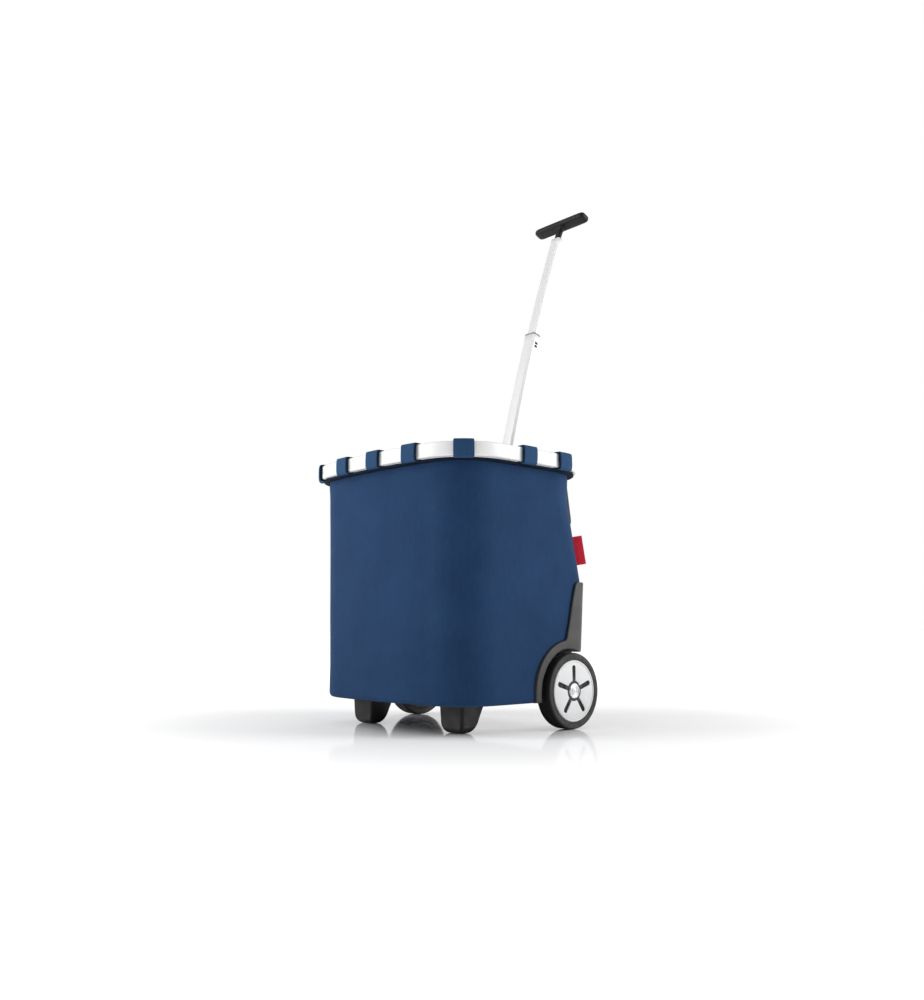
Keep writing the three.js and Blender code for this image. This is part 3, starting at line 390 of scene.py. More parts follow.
def stitched(paint, parts, factor, height, rows):
    """Rows of dashes at the given second UV coordinates, sunk beside the thread and paler on it."""
    across, along = parts.outputs[1], parts.outputs[0]
    wave = paint.math("SINE", paint.math("MULTIPLY", along, 2 * math.pi / STITCH_PITCH))
    dash = paint.math("GREATER_THAN", wave, -0.35)
    for row in rows:
        off = paint.math("ABSOLUTE", paint.math("SUBTRACT", across, row))
        thread = paint.math("MULTIPLY", paint.span(off, 0.0003, 0.0005, 1, 0), dash)
        groove = paint.span(off, 0.0004, 0.0014, 1, 0)
        factor = paint.math("ADD", factor, paint.math("MULTIPLY", thread, 0.9))
        height = paint.math("SUBTRACT", height, paint.math("MULTIPLY", groove, 1.2))
        height = paint.math("ADD", height, paint.math("MULTIPLY", thread, 1.6))
    return factor, height


def plastic(name, dark, light, roughness, grain=900, bump=0.12, **sockets):
    """Moulded plastic: fine spark-eroded grain, faint flow marks and rubbed patches."""
    paint = Paint(name, light, roughness, **sockets)
    where = paint.where()
    cloud = paint.noise(where, 22, 5)
    fine = paint.noise(where, grain, 2)
    paint.tint(paint.span(cloud, 0.3, 0.7, 0, 1), dark, light)
    rub = paint.span(paint.noise(where, 60, 6), 0.35, 0.75, roughness + 0.08, roughness - 0.10)
    paint.roughen(rub)
    paint.bump(fine, bump, 0.0002)
    return paint.material


def metal(name, color, roughness, stretch, metallic=1.0, grain=500, depth=0.06, tone=0.06, corner_highlight=None):
    """Drawn or anodised metal with grain running one way, and a painted highlight: where the normal points
    diagonally in plan the colour is lightened.
    """
    paint = Paint(name, color, roughness, metallic)
    where = paint.where()
    lines = paint.noise(where, grain, 3, stretch)
    cloud = paint.noise(where, 9, 3)
    dark = tuple(c * (1 - tone) for c in color)
    flat = paint.tint(paint.span(lines, 0.3, 0.7, 0, 1), dark, color)
    # painted highlight: the base colour is blended towards the given pale grey where the object-space normal
    # points diagonally in plan, standing in for light on the rounded corners
    if corner_highlight:
        facing = paint.node("SeparateXYZ", None, Vector=paint.node("TexCoord").outputs["Normal"])
        turned = paint.math("ABSOLUTE", paint.math("MULTIPLY", facing.outputs[0], facing.outputs[1]))
        edge = paint.node("Mix", {"data_type": "RGBA"})
        paint.set(edge, i0=paint.span(turned, 0.1, 0.5, 0, 1), i6=flat, i7=(*corner_highlight, 1))
        paint.set(paint.shader, **{"Base Color": edge.outputs[2]})
    rough = paint.math("ADD", paint.math("MULTIPLY", lines, 0.14), paint.math("MULTIPLY", cloud, 0.10))
    paint.roughen(paint.math("ADD", rough, roughness - 0.12))
    paint.bump(lines, depth, 0.0002)
    return paint.material


def rubber(name):
    """Tyre rubber: dusty grey sides and a worn black tread, told apart by the distance from the axle."""
    paint = Paint(name, (0.03, 0.03, 0.031), 0.6, Specular_IOR_Level=0.25)
    where = paint.where()
    dust = paint.span(paint.noise(where, 40, 6), 0.45, 0.75, 0, 1)
    side = paint.tint(dust, (0.030, 0.030, 0.031), (0.052, 0.051, 0.050))
    parts = paint.node("SeparateXYZ", None, Vector=where)
    off = paint.math("SUBTRACT", parts.outputs[1], AXLE_Y / 1000 + SHIFT)
    up = paint.math("SUBTRACT", parts.outputs[2], WHEEL_R / 1000)
    flat = paint.node("CombineXYZ", None, X=off, Y=up)
    reach = paint.node("VectorMath", {"operation": "LENGTH"}, i0=flat.outputs[0]).outputs["Value"]
    tread = paint.span(reach, (WHEEL_R - 2.4) / 1000, (WHEEL_R - 1.0) / 1000, 0, 1)
    mix = paint.node("Mix", {"data_type": "RGBA"})
    paint.set(mix, i0=tread, i6=side, i7=(0.007, 0.007, 0.007, 1))
    paint.set(paint.shader, **{"Base Color": mix.outputs[2]})
    paint.roughen(paint.span(paint.noise(where, 120, 4), 0.3, 0.7, 0.5, 0.72))
    paint.bump(paint.noise(where, 1200, 2), 0.15, 0.0002)
    return paint.material


def grey(value):
    return (value, value, value)


FABRIC = fabric("navy_cloth", (0.0085, 0.029, 0.080), (0.0150, 0.047, 0.120))
LINING = fabric("navy_lining", (0.006, 0.020, 0.056), (0.010, 0.032, 0.086), 0.0008)
# the webbing gets painted shade along both side edges of the strap
WEBBING = fabric(
    "navy_webbing", (0.014, 0.044, 0.108), (0.024, 0.068, 0.155), 0.0014, (0.003, 0.028), 0.08,
    STRAP_WIDTH / 1000,
)
# the binding is part of the bag; its near-black navy, much darker than the bag cloth and without sheen, is
# partly painted shade under the rim
SHADE_DARK_BINDING = fabric("navy_binding_painted_shade", (0.002, 0.006, 0.017), (0.004, 0.011, 0.028), 0.0008, (0.0045,), 0.0)
LABEL = fabric("red_label", (0.46, 0.012, 0.028), (0.74, 0.035, 0.065), 0.0006, (0.0025, 0.0455), 0.0)
BOARD = fabric("board_cover", (0.010, 0.022, 0.045), (0.02, 0.04, 0.08), 0.0012)
# the rim and the pole get a painted highlight on their diagonal corners
RIM_METAL = metal("satin_aluminium", (0.66, 0.665, 0.67), 0.45, (1, 1, 0.03), 0.2, corner_highlight=grey(0.84))
POLE_METAL = metal("pole_aluminium", (0.68, 0.685, 0.69), 0.4, (1, 1, 0.02), 0.2, corner_highlight=grey(0.98))
STEEL = metal("bright_steel", (0.62, 0.63, 0.64), 0.3, (0.05, 1, 1))
SILVER = metal("silver_cap", (0.62, 0.63, 0.65), 0.28, (1, 1, 1), 0.8, 300, 0.03)
CHASSIS = plastic(
    "chassis_plastic", (0.036, 0.034, 0.033), (0.062, 0.059, 0.057), 0.5, Specular_IOR_Level=0.3
)
BLACK = plastic(
    "black_plastic", (0.010, 0.0095, 0.0095), (0.020, 0.019, 0.019), 0.45, 700, Specular_IOR_Level=0.2
)
GRIP = plastic("grip_plastic", grey(0.005), grey(0.011), 0.5, 500, 0.25, Specular_IOR_Level=0.2)
HUB = plastic("hub_plastic", (0.014, 0.014, 0.015), (0.032, 0.032, 0.034), 0.4, Specular_IOR_Level=0.3)
COLLAR = plastic("collar_plastic", grey(0.20), grey(0.30), 0.45)
PALE = plastic(
    "pale_plastic", (0.64, 0.645, 0.65), (0.72, 0.725, 0.73), 0.4, 900, 0.06, Specular_IOR_Level=0.3
)
TYRE = rubber("tyre_rubber")


# ------------------------------------------------------------------ rim and webbing loops
def build_rim():
    section = rounded_rect(RIM_THICK, RIM_HEIGHT, 2.6, 6)
    middle = RIM_TOP - RIM_HEIGHT / 2
    stations = [plan_points(RIM_PLAN, RIM_THICK / 2 - x) for x, _ in section]
    rings = [
        [place(stations[j][i][0], stations[j][i][1], middle + y) for j, (_, y) in enumerate(section)]
        for i in range(len(stations[0]))
    ]
    rim = skin("rim_band", rings, loop=True)
    finish_piece(rim, "carriage", RIM_METAL, "satin_aluminium", "rim_frame")


def soften(line, rounds=3):
    """Corner cutting that keeps the ends."""
    for _ in range(rounds):
        cut_line = [line[0]]
        for a, b in zip(line, line[1:]):
            cut_line.append((a[0] * 0.75 + b[0] * 0.25, a[1] * 0.75 + b[1] * 0.25))
            cut_line.append((a[0] * 0.25 + b[0] * 0.75, a[1] * 0.25 + b[1] * 0.75))
        line = cut_line + [line[-1]]
    return line


def loop_lines(slack):
    """The padded band in section: its line beside the rim, and its outer face, thickest outside the rim."""
    inside, outside = -RIM_THICK - LOOP_GAP, LOOP_GAP
    over, under = RIM_TOP + LOOP_GAP, RIM_TOP - RIM_HEIGHT - LOOP_GAP
    middle = (over + under) / 2
    end = 0.2 - HEM_OUTER
    thin, reach = STRAP_THIN, STRAP_REACH
    near = [
        (inside, under), (inside, over - 6), (inside, over), (inside + 3, over),
        (outside - 3, over), (outside, over), (outside, over - 6), (outside, middle),
        (outside, under + 6), (outside, under), (end + 2, under), (end, under),
    ]
    far = [
        (inside - thin, under), (inside - thin, over - 6), (inside - thin, over + thin * 0.9),
        (inside + 2, over + thin), (-1.5, over + thin), (reach - 0.8, over + thin * 0.85),
        (reach, over - 6), (reach + slack, middle), (reach, under + 6),
        (reach - 1, under - thin * 0.9), (-1, under - thin), (end, under - thin * 0.9),
    ]
    return soften(near), soften(far)


def build_loop(name, x, y, slack=0.0, turn=0.0):
    near, far = loop_lines(slack)
    lengths = [0.0]
    for a, b in zip(far, far[1:]):
        lengths.append(lengths[-1] + math.dist(a, b))
    middle = plan_distance(RIM_PLAN, x, y) + STRAP_SHIFT
    half_width = STRAP_WIDTH / 2
    rings = []
    for spot in LOOP_SPOTS:
        side = half_width * (1 - abs(spot))
        full = math.sqrt(max(0.1, 1 - max(0, 1 - side / LOOP_ROUNDING) ** 2))
        inner, outer = [], []
        for a, b in zip(near, far):
            mid = ((a[0] + b[0]) / 2, (a[1] + b[1]) / 2)
            inner.append(tuple(mid[k] + (a[k] - mid[k]) * full for k in (0, 1)))
            outer.append(tuple(mid[k] + (b[k] - mid[k]) * full for k in (0, 1)))
        ring = []
        for u, v in outer + inner[::-1]:
            px, py, nx, ny = plan_at(RIM_PLAN, middle + spot * half_width + turn * (v - RIM_TOP))
            ring.append(place(px + nx * u, py + ny * u, v))
        rings.append(ring)
    along = lengths + lengths[::-1]
    across = [(spot + 1) * half_width / 1000 for spot in LOOP_SPOTS]
    loop = skin(name, rings, uv=lambda i, j: (along[j % len(along)] / 1000, across[i]), angle=60)
    finish_piece(loop, "carriage", WEBBING, "navy_webbing", name.replace("loop", "strap"))


def build_loops():
    build_loop("loop_front_middle", 0, -RIM_D, 0.1, 0.02)
    for side, sign in SIDES:
        build_loop("loop_front_" + side, sign * STRAP_PITCH, -RIM_D, 0.0, 0.015 * sign)
        build_loop("loop_front_corner_" + side, sign * (RIM_W - 30), 28 - RIM_D, 0.0, -0.01)
        build_loop("loop_side_" + side, sign * RIM_W, -22, 0.2, 0.02)
        build_loop("loop_back_corner_" + side, sign * RIM_W, 63, 0.1, -0.02)
        build_loop("loop_back_" + side, sign * STRAP_PITCH, RIM_D, 0.0, 0.01)


# ------------------------------------------------------------------ bag
def sag(x, y, z):
    """How far the cloth lies inside its board-stiffened shape, in millimetres."""
    big = noise.noise(Vector((x / 95, y / 95, z / 120))) * 0.5 + 0.5
    small = noise.noise(Vector((x / 28 + 7, y / 28, z / 46))) * 0.5 + 0.5
    free = smoothstep(z, BAG_BOTTOM + 6, BAG_BOTTOM + 60) * (1 - smoothstep(z, BAG_TOP - 30, BAG_TOP))
    return (1.5 * big + 0.35 * small) * free


def bag_body(name, inset, bottom, top, rounding):
    turned_in = ((0, 1), (0.12, 0.52), (0.3, 0.29), (0.6, 0.08), (1, 0))
    levels = [(bottom + up * rounding, rounding * draw) for up, draw in turned_in]
    z = bottom + rounding + 6
    while z < top - 4:
        levels.append((z, 0))
        z += 7
    levels.append((top, 0))
    rings = []
    for z, draw in levels:
        ring = []
        for x, y, nx, ny in plan_points(bag_plan(z, -inset - draw)):
            d = sag(x, y, z)
            ring.append(place(x - nx * d, y - ny * d, z))
        rings.append(ring)
    middle = rings[len(rings) // 2]
    steps = np.array([(b - a).length for a, b in zip(middle, middle[1:] + middle[:1])])
    around = np.concatenate([[0], np.cumsum(steps)])
    return skin(name, rings, uv=lambda i, j: (around[j], rings[i][0].z))


def side_prism(name, profile, x0, x1):
    """A profile in the Y-Z plane as a prism across X, with UVs that follow its outline."""
    lengths = [0.0]
    for a, b in zip(profile, profile[1:] + profile[:1]):
        lengths.append(lengths[-1] + math.dist(a, b) / 1000)
    rings = [[place(x, y, z) for y, z in profile] for x in (x0, x1)]
    return skin(name, rings, uv=lambda i, j: (lengths[j], (x0, x1)[i] / 1000))


def housing_profile(grow, steps=48):
    radius = ARCH_R + grow
    top = WELL_TOP + grow
    meets = math.pi - math.asin(min(0.999, (top - WHEEL_R) / radius))
    arch = []
    for i in range(steps + 1):
        a = math.pi + (meets - math.pi) * i / steps
        arch.append((AXLE_Y + radius * math.cos(a), WHEEL_R + radius * math.sin(a)))
    return [(arch[0][0], 0), *arch, (HOUSING_BACK, top), (HOUSING_BACK, 0)]


def clear_of_chassis(body, margin):
    (front, low), (back, high) = BEAM_LOW, BEAM_HIGH
    beam = [(front - margin, low), (front - margin, high + margin), (back, high + margin), (back, low)]
    cutters = [side_prism("cutter", beam, -FAR_SIDE, FAR_SIDE)]
    for sign in (1, -1):
        inner = WELL_WALL - margin
        x0, x1 = (inner, FAR_SIDE) if sign > 0 else (-FAR_SIDE, -inner)
        cutters.append(side_prism("cutter", housing_profile(margin), x0, x1))
    for cutter in cutters:
        cut(body, cutter)
    remove(*cutters)
    return body


def build_bag():
    outer = clear_of_chassis(bag_body("bag_cloth", 0, BAG_BOTTOM, BAG_TOP + 0.6, 8), 0.5)
    room = clear_of_chassis(bag_body("room", 1.7, BAG_BOTTOM + 1.7, BAG_TOP + 6, 7), 2.2)
    cut(outer, room)
    remove(room)
    smooth(outer, 42)
    panels = ["bag_front", "bag_back", "bag_floor"]
    panels += [part + side for part in ("bag_side_", "bag_well_") for side, _ in SIDES]
    finish_piece(outer, "carriage", FABRIC, "navy_fabric", *panels)
    outer.data.materials.append(LINING)
    for face in outer.data.polygons:
        outward = Vector((face.center.x, face.center.y - SHIFT, 0))
        if face.normal.z > 0.6 or (abs(face.normal.z) < 0.6 and face.normal.dot(outward) < 0):
            face.material_index = 1


def build_hem():
    """A binding that closes the gap between the rim's underside and the bag's top edge; its near-black colour
    is partly painted shade for the shaded strip under the rim.
    """
    low, high = BAG_TOP, BAG_TOP + 4
    outer = [(0.5, low + 0.1), (0.12, low + 0.5), (0, low + 1.2)]
    outer += [(0, high - 1.2), (0.12, high - 0.5), (0.5, high - 0.1), (1.2, high)]
    inner = [(HEM_INNER - 0.6, high), (HEM_INNER, high - 0.6), (HEM_INNER, low + 0.4), (HEM_INNER - 0.4, low)]
    rows = [(plan_points(RIM_PLAN, HEM_OUTER + x), z) for x, z in outer]
    rows += [(plan_points(bag_plan(BAG_TOP, -x)), z) for x, z in inner]
    rows += [(plan_points(RIM_PLAN, HEM_OUTER + 1.2), low)]
    count = len(rows[0][0])
    rings = [[place(points[i][0], points[i][1], z) for points, z in rows] for i in range(count)]
    around = [0.0]
    for a, b in zip(rings, rings[1:] + rings[:1]):
        around.append(around[-1] + (b[0] - a[0]).length)
    hem = skin("hem_binding", rings, True, lambda i, j: (around[i], (j % len(rows)) * 0.0016), angle=60)
    finish_piece(hem, "carriage", SHADE_DARK_BINDING, "navy_webbing", "bag_hem")


def build_tag():
    """A woven label folded double and sewn into the back corner seam, square to the seam's slope."""
    levels = [TAG_Z + TAG_HEIGHT * i / 24 for i in range(25)]
    profile = [(-0.6, 0.5), (4, 0.75), (10, 0.7), (15, 0.62), (TAG_WIDTH - 0.7, 0.5), (TAG_WIDTH, 0.0)]
    outline = profile + [(x, -t) for x, t in reversed(profile[:-1])]
    rings = []
    for z in levels:
        plan = bag_plan(z)
        x, y, nx, ny = plan_at(plan, plan_distance(plan, plan[0], plan[2]))
        wave = 0.8 * math.sin((z - TAG_Z) / TAG_HEIGHT * 2.6)
        ring = []
        for u, t in outline:
            bend = wave * (u / TAG_WIDTH) ** 2
            ring.append(place(x + nx * u - ny * (t + bend), y + ny * u + nx * (t + bend), z + 0.16 * u))
        rings.append(ring)
    reach = [x / 1000 for x, _ in outline]
    n = len(outline)
    tag = skin("woven_label", rings, uv=lambda i, j: (reach[j % n], (levels[i] - TAG_Z) / 1000), angle=50)
    finish_piece(tag, "carriage", LABEL, "red_label", "side_tag")


# ------------------------------------------------------------------ wheels
def lathe(name, profile, side, segments=128, angle=35):
    """A profile of (radius, distance outwards from the wheel's middle) turned about the axle."""
    sign = 1 if side == "right" else -1
    middle = WHEEL_FACE - WHEEL_WIDTH / 2
    rings = []
    for i in range(segments):
        a = 2 * math.pi * i / segments
        c, s = math.cos(a), math.sin(a)
        rings.append([place(sign * (middle + h), AXLE_Y + r * c, WHEEL_R + r * s) for r, h in profile])
    return skin(name, rings, loop=True, angle=angle)


def round_profile(points, radius=0.6, steps=3):
    """The closed profile with each corner rounded."""
    made = []
    n = len(points)
    for i, p in enumerate(points):
        p = Vector(p)
        a, b = Vector(points[i - 1]) - p, Vector(points[(i + 1) % n]) - p
        reach = min(radius, a.length * 0.45, b.length * 0.45)
        start, end = p + a.normalized() * reach, p + b.normalized() * reach
        for k in range(steps + 1):
            t = k / steps
            made.append(tuple(start * (1 - t) ** 2 + p * 2 * t * (1 - t) + end * t * t))
    return made


def star_outline(reach, end_radius, middle, grow=0.0, count=720):
    """Five tapering arms with round ends about a round middle, as a polar outline."""
    root = middle - SLOT_ROOT

    def inside(r, a):
        if r <= middle + grow:
            return True
        for arm in range(5):
            turn = a - math.pi / 2 - arm * 2 * math.pi / 5
            x, y = r * math.cos(turn), abs(r * math.sin(turn))
            width = SLOT_ROOT + (end_radius - SLOT_ROOT) * (x - root) / (reach - root) + grow
            if root < x <= reach and y <= width:
                return True
            if math.hypot(x - reach, y) <= end_radius + grow:
                return True
        return False

    points = []
    for i in range(count):
        a = 2 * math.pi * i / count
        low, high = 0.0, 60.0
        for _ in range(18):
            mid = (low + high) / 2
            low, high = (mid, high) if inside(mid, a) else (low, mid)
        points.append((low * math.cos(a), low * math.sin(a)))
    return points


def plate(name, outlines, side, low, high, bevel):
    """A flat plate on the wheel's face, with rounded edges, from closed outlines in the Y-Z plane."""
    data = bpy.data.curves.new(name, "CURVE")
    data.dimensions = "2D"
    data.fill_mode = "BOTH"
    data.extrude = (high - low) / 2000 - bevel / 1000
    data.bevel_depth = bevel / 1000
    data.bevel_resolution = 3
    data.offset = -bevel / 1000
    for index, outline in enumerate(outlines):
        if index:
            outline = outline[::-1]
        spline = data.splines.new("POLY")
        spline.points.add(len(outline) - 1)
        for point, (x, y) in zip(spline.points, outline):
            point.co = (x / 1000, y / 1000, 0, 1)
        spline.use_cyclic_u = True
    curve = bpy.data.objects.new(name + "_curve", data)
    bpy.context.scene.collection.objects.link(curve)
    bpy.context.view_layer.update()
    mesh = bpy.data.meshes.new_from_object(curve.evaluated_get(bpy.context.evaluated_depsgraph_get()))
    bpy.data.objects.remove(curve)
    sign = 1 if side == "right" else -1
    middle = WHEEL_FACE - WHEEL_WIDTH / 2 + (low + high) / 2
    turn = Matrix(((0, 0, sign, 0), (1, 0, 0, 0), (0, 1, 0, 0), (0, 0, 0, 1)))
    mesh.transform(Matrix.Translation(place(sign * middle, AXLE_Y, WHEEL_R)) @ turn)
    bm = bmesh.new()
    bm.from_mesh(mesh)
    bmesh.ops.remove_doubles(bm, verts=bm.verts, dist=1e-6)
    bmesh.ops.recalc_face_normals(bm, faces=bm.faces)
    bm.to_mesh(mesh)
    bm.free()
    return smooth(link(name, mesh), 40)


def circle(radius, count=160):
    turns = [2 * math.pi * i / count for i in range(count)]
    return [(radius * math.cos(a), radius * math.sin(a)) for a in turns]


def build_wheel(side):
    body = "wheel_" + side
    h, r = WHEEL_WIDTH / 2, WHEEL_R
    inner = DISC_R + 0.4
    tread = [(r - 2.6, h - 0.2), (r - 0.8, h - 1.4), (r, h - 4), (r, h - 9)]
    groove = [(r, 3.4), (r - 0.9, 3.0), (r - 0.9, 2.2), (r, 1.8)]
    wall = [(inner, h - 1), (inner + 0.8, h - 0.1), (inner + 2.6, h)]
    wall += [(inner + 3.0, h - 0.5), (inner + 3.6, h - 0.05)]
    half = wall + tread + groove
    tyre_line = half + [(x, -y) for x, y in reversed(half)]
    tyre = lathe("rubber_tyre_" + side, round_profile(tyre_line, 0.5, 2), side, 144, 50)
    finish_piece(tyre, body, TYRE, "tyre_rubber", "tyre_" + side)

    hole = star_outline(SLOT_REACH, SLOT_END, HUB_STAR)
    face = plate("disc_face_" + side, [circle(DISC_R - 3.4), hole], side, h - 2.4, h - 0.4, 0.45)
    finish_piece(face, body, PALE, "pale_plastic", "wheel_disc_" + side)
    lip = [(DISC_R - 3.5, h - 6), (DISC_R, h - 6), (DISC_R, h - 0.6), (DISC_R - 1.2, h + 0.2)]
    lip += [(DISC_R - 2.6, h + 0.1), (DISC_R - 3.5, h - 0.9)]
    ring = lathe("disc_lip_" + side, round_profile(lip, 0.5), side, 144, 60)
    finish_piece(ring, body, PALE, "pale_plastic")

    core = [(BORE, -h), (15, -h), (17, -h + 8), (40, -h + 8), (42, -h + 1), (DISC_R, -h + 1)]
    core += [(DISC_R, h - 6.4), (DISC_R - 4, h - 6.4), (DISC_R - 4.4, h - 2.8)]
    core += [(13, h - 2.8), (12.6, h - 6.4), (BORE, h - 6.4)]
    hub = lathe("hub_body_" + side, round_profile(core, 0.8), side, 96)
    finish_piece(hub, body, BLACK, "black_plastic", "hub_core_" + side)
    star = star_outline(STAR_REACH, SLOT_ROOT, HUB_STAR, -0.5)
    boss = plate("hub_star_" + side, [star, circle(CAP_R + 0.3, 96)], side, h - 3.2, h - 1.3, 0.7)
    finish_piece(boss, body, HUB, "black_plastic")
    cap = [(BORE, h - 6), (CAP_R, h - 6), (CAP_R, h - 0.6), (CAP_R - 0.9, h + 0.9), (9.0, h + 1.5)]
    cap += [(8.0, h + 0.6), (7.2, h + 0.5), (6.2, h + 1.3), (5.4, h + 1.5), (4.8, h + 0.9)]
    cap += [(3.4, h + 0.9), (2.6, h + 1.6), (0.01, h + 1.9), (0.01, h - 2), (BORE, h - 2)]
    crown = lathe("cap_turned_" + side, round_profile(cap, 0.35), side, 96, 50)
    finish_piece(crown, body, SILVER, "silver_plastic", "hub_cap_" + side)


# ------------------------------------------------------------------ pole and grip
def pole_point(x, y, distance):
    lean = POLE_LEAN + distance / POLE_ARC
    radius = POLE_ARC - y
    return place(x, POLE_CY - radius * math.cos(lean), POLE_CZ + radius * math.sin(lean))


def pole_tube(name, size, wall, span, body, slot, node, material=POLE_METAL):
    """A tube along the pole's curve, with softened ends; size is its width, depth and corner radius."""
    (w, d, r), (start, end) = size, span
    stops = [start + (end - start) * i / 24 for i in range(25)]

    def ring(by, at):
        section = rounded_rect(w - 2 * by, d - 2 * by, r - by, 10)
        return [pole_point(x, y, at) for x, y in section]

    rings = [ring(0.3, start), ring(0, start + 0.3)]
    rings += [ring(0, at) for at in stops[1:-1]]
    rings += [ring(0, end - 0.3), ring(0.3, end)]
    rings += [ring(wall, at) for at in reversed(stops)]
    finish_piece(skin(name, rings, loop=True, angle=45), body, material, slot, node)


def build_pole():
    fixed, lower, upper = (34, 25, 8.5), (29.5, 20.5, 7), (24.4, 16.2, 6)
    metal_slot = "pole_aluminium"
    pole_tube("tube_fixed", fixed, 1.4, (-363.6, -12), "carriage", metal_slot, "pole_outer_tube")
    pole_tube("tube_lower", lower, 1.4, (-80, 288), "lower_stage", metal_slot, "lower_stage_tube")
    pole_tube("tube_upper", upper, 1.3, (237, TUBE_TOP), "upper_stage", metal_slot, "upper_stage_tube")
    collar_at = (288.4, 290.8)
    pole_tube("collar_ring", lower, 2, collar_at, "lower_stage", "dark_plastic", "lower_stage_collar", COLLAR)


def build_clips():
    """Two small black guide clips that stand a little proud of the lower stage's side."""
    for number, at in enumerate(CLIPS_AT, 1):
        rings = []
        for up, draw in ((-1, 0.5), (-0.8, 0), (0.8, 0), (1, 0.5)):
            deep = CLIP_OUTER - draw
            section = rounded_rect(deep - CLIP_INNER, CLIP_WIDTH - 2 * draw, 0.5, 3)
            spot = at + up * CLIP_HEIGHT / 2
            rings.append([pole_point((CLIP_INNER + deep) / 2 + x, y, spot) for x, y in section])
        clip = skin("clip_black_" + str(number), rings, angle=50)
        finish_piece(clip, "lower_stage", GRIP, "black_plastic", "guide_clip_" + str(number))


def loft(name, stations, angle=50):
    """Stations of (distance, width, depth, corner share) along the pole, skinned."""
    rings = []
    for at, w, d, share in stations:
        section = rounded_rect(w, d, share * min(w, d), 8)
        rings.append([pole_point(x, y, at) for x, y in section])
    return skin(name, rings, angle=angle)


def build_grip():
    top = GRIP_AT - GRIP_HEIGHT / 2 - 0.4
    stations = [(TUBE_TOP - 20, 20.4, 12.2, 0.34), (TUBE_TOP + 0.2, 20.4, 12.2, 0.34)]
    stations += [(TUBE_TOP + 0.9, 19.2, 12, 0.38), (TUBE_TOP + 1.8, 16, 11.2, 0.4)]
    stations += [(TUBE_TOP + 3, 14.2, 10.4, 0.42), (TUBE_TOP + 5, 13.3, 9.9, 0.42)]
    stations += [(TUBE_TOP + 12, 13, 9.7, 0.42), (top - 8, 13.5, 10, 0.42), (top - 5, 14.8, 11, 0.43)]
    stations += [(top - 2.6, 17, 13, 0.44), (top - 1, 20, 15.4, 0.45), (top, 24, 18, 0.46)]
    neck = loft("neck_flared", stations)
    finish_piece(neck, "upper_stage", GRIP, "black_plastic", "grip_neck")

    centre = pole_point(0, 0, GRIP_AT)
    ahead = (pole_point(0, 1, GRIP_AT) - centre).normalized()
    up = (pole_point(0, 0, GRIP_AT + 1) - centre).normalized()
    section = rounded_rect(GRIP_DEPTH, GRIP_HEIGHT, 5.6, 10)

    def ring(x, scale):
        points = []
        for a, b in section:
            p = centre + (ahead * a + up * b) * (scale / 1000)
            points.append(Vector((x / 1000, p.y, p.z)))
        return points

    end = GRIP_HALF - 17
    rings = [ring(-end, 0.975), ring(-end + 0.5, 0.99)]
    for i in range(25):
        x = -end + 1 + (2 * end - 2) * i / 24
        rings.append(ring(x, 1.0 - 0.0105 * (x / end) ** 2))
    rings += [ring(end - 0.5, 0.99), ring(end, 0.975)]
    bar = skin("grip_body", rings, angle=50)
    finish_piece(bar, "upper_stage", GRIP, "black_plastic", "grip_bar")
    steps = [(0, 0.965), (0.5, 0.985), (1, 0.99), (6, 0.985), (10, 0.955), (12.6, 0.90)]
    steps += [(14.4, 0.82), (15.6, 0.70), (16.3, 0.54), (16.6, 0.3)]
    for side, sign in SIDES:
        rings = [ring(sign * (end + 0.4 + out), scale) for out, scale in steps]
        tip = skin("grip_tip_" + side, rings, angle=60)
        finish_piece(tip, "upper_stage", GRIP, "black_plastic", "grip_end_" + side)


# ------------------------------------------------------------------ feet and mouldings
def build_feet():
    """Blunt feet from levels of (height, width, set-back, depth, corner share)."""
    levels = [(0, 27, 8.5, 15, 0.3), (0.5, 31.5, 6.6, 19, 0.28), (1.8, 37, 4.4, 23.6, 0.25)]
    levels += [(4.2, 42.4, 2.4, 28, 0.22), (7.2, 46.2, 1.1, 31.4, 0.19), (10.6, 48.6, 0.3, 34, 0.16)]
    levels += [(14.5, 50, 0, 36.3, 0.14), (26, 52, -0.4, 41.4, 0.13), (36, 53.6, -0.7, 46, 0.12)]
    levels += [(BAG_BOTTOM - 0.4, 55, -1, 50, 0.12)]
    for side, sign in SIDES:
        rings = []
        for z, w, back, d, share in levels:
            y = FOOT_Y + back + d / 2
            section = rounded_rect(w, d, share * min(w, d), 6)
            rings.append([place(sign * FOOT_X + a, y + b, z) for a, b in section])
        foot = skin("moulded_foot_" + side, rings, angle=55)
        finish_piece(foot, "carriage", BLACK, "black_plastic", "foot_" + side)


def build_mouldings():
    chassis = moulded("chassis_moulding", "chassis", 1.5, 5)
    finish_piece(chassis, "carriage", CHASSIS, "dark_plastic", "chassis")
    for side, _ in SIDES:
        hook = moulded("hook_moulding_" + side, "cart_hook_" + side, 0.7, 6)
        finish_piece(hook, "carriage", BLACK, "black_plastic", "cart_hook_" + side)
    for name, node in (("socket_moulding", "pole_socket"), ("bracket_moulding", "pole_bracket")):
        piece = moulded(name, node, 0.8, 4)
        finish_piece(piece, "carriage", BLACK, "black_plastic", node)


def dress_cad_nodes():
    """The nodes that keep their CAD shape get finished materials and smooth shading."""
    wanted = {"steel": STEEL, "pale_plastic": PALE, "dark_plastic": CHASSIS, "grey_board": BOARD}
    slots = {part["node"]: part["material_slot"] for part in frame["record"]["subparts"]}
    for name, obj in NODES.items():
        if obj.hide_render:
            continue
        material = wanted.get(slots[name], BLACK)
        obj.data.materials.clear()
        obj.data.materials.append(material)
        smooth(obj, 30)


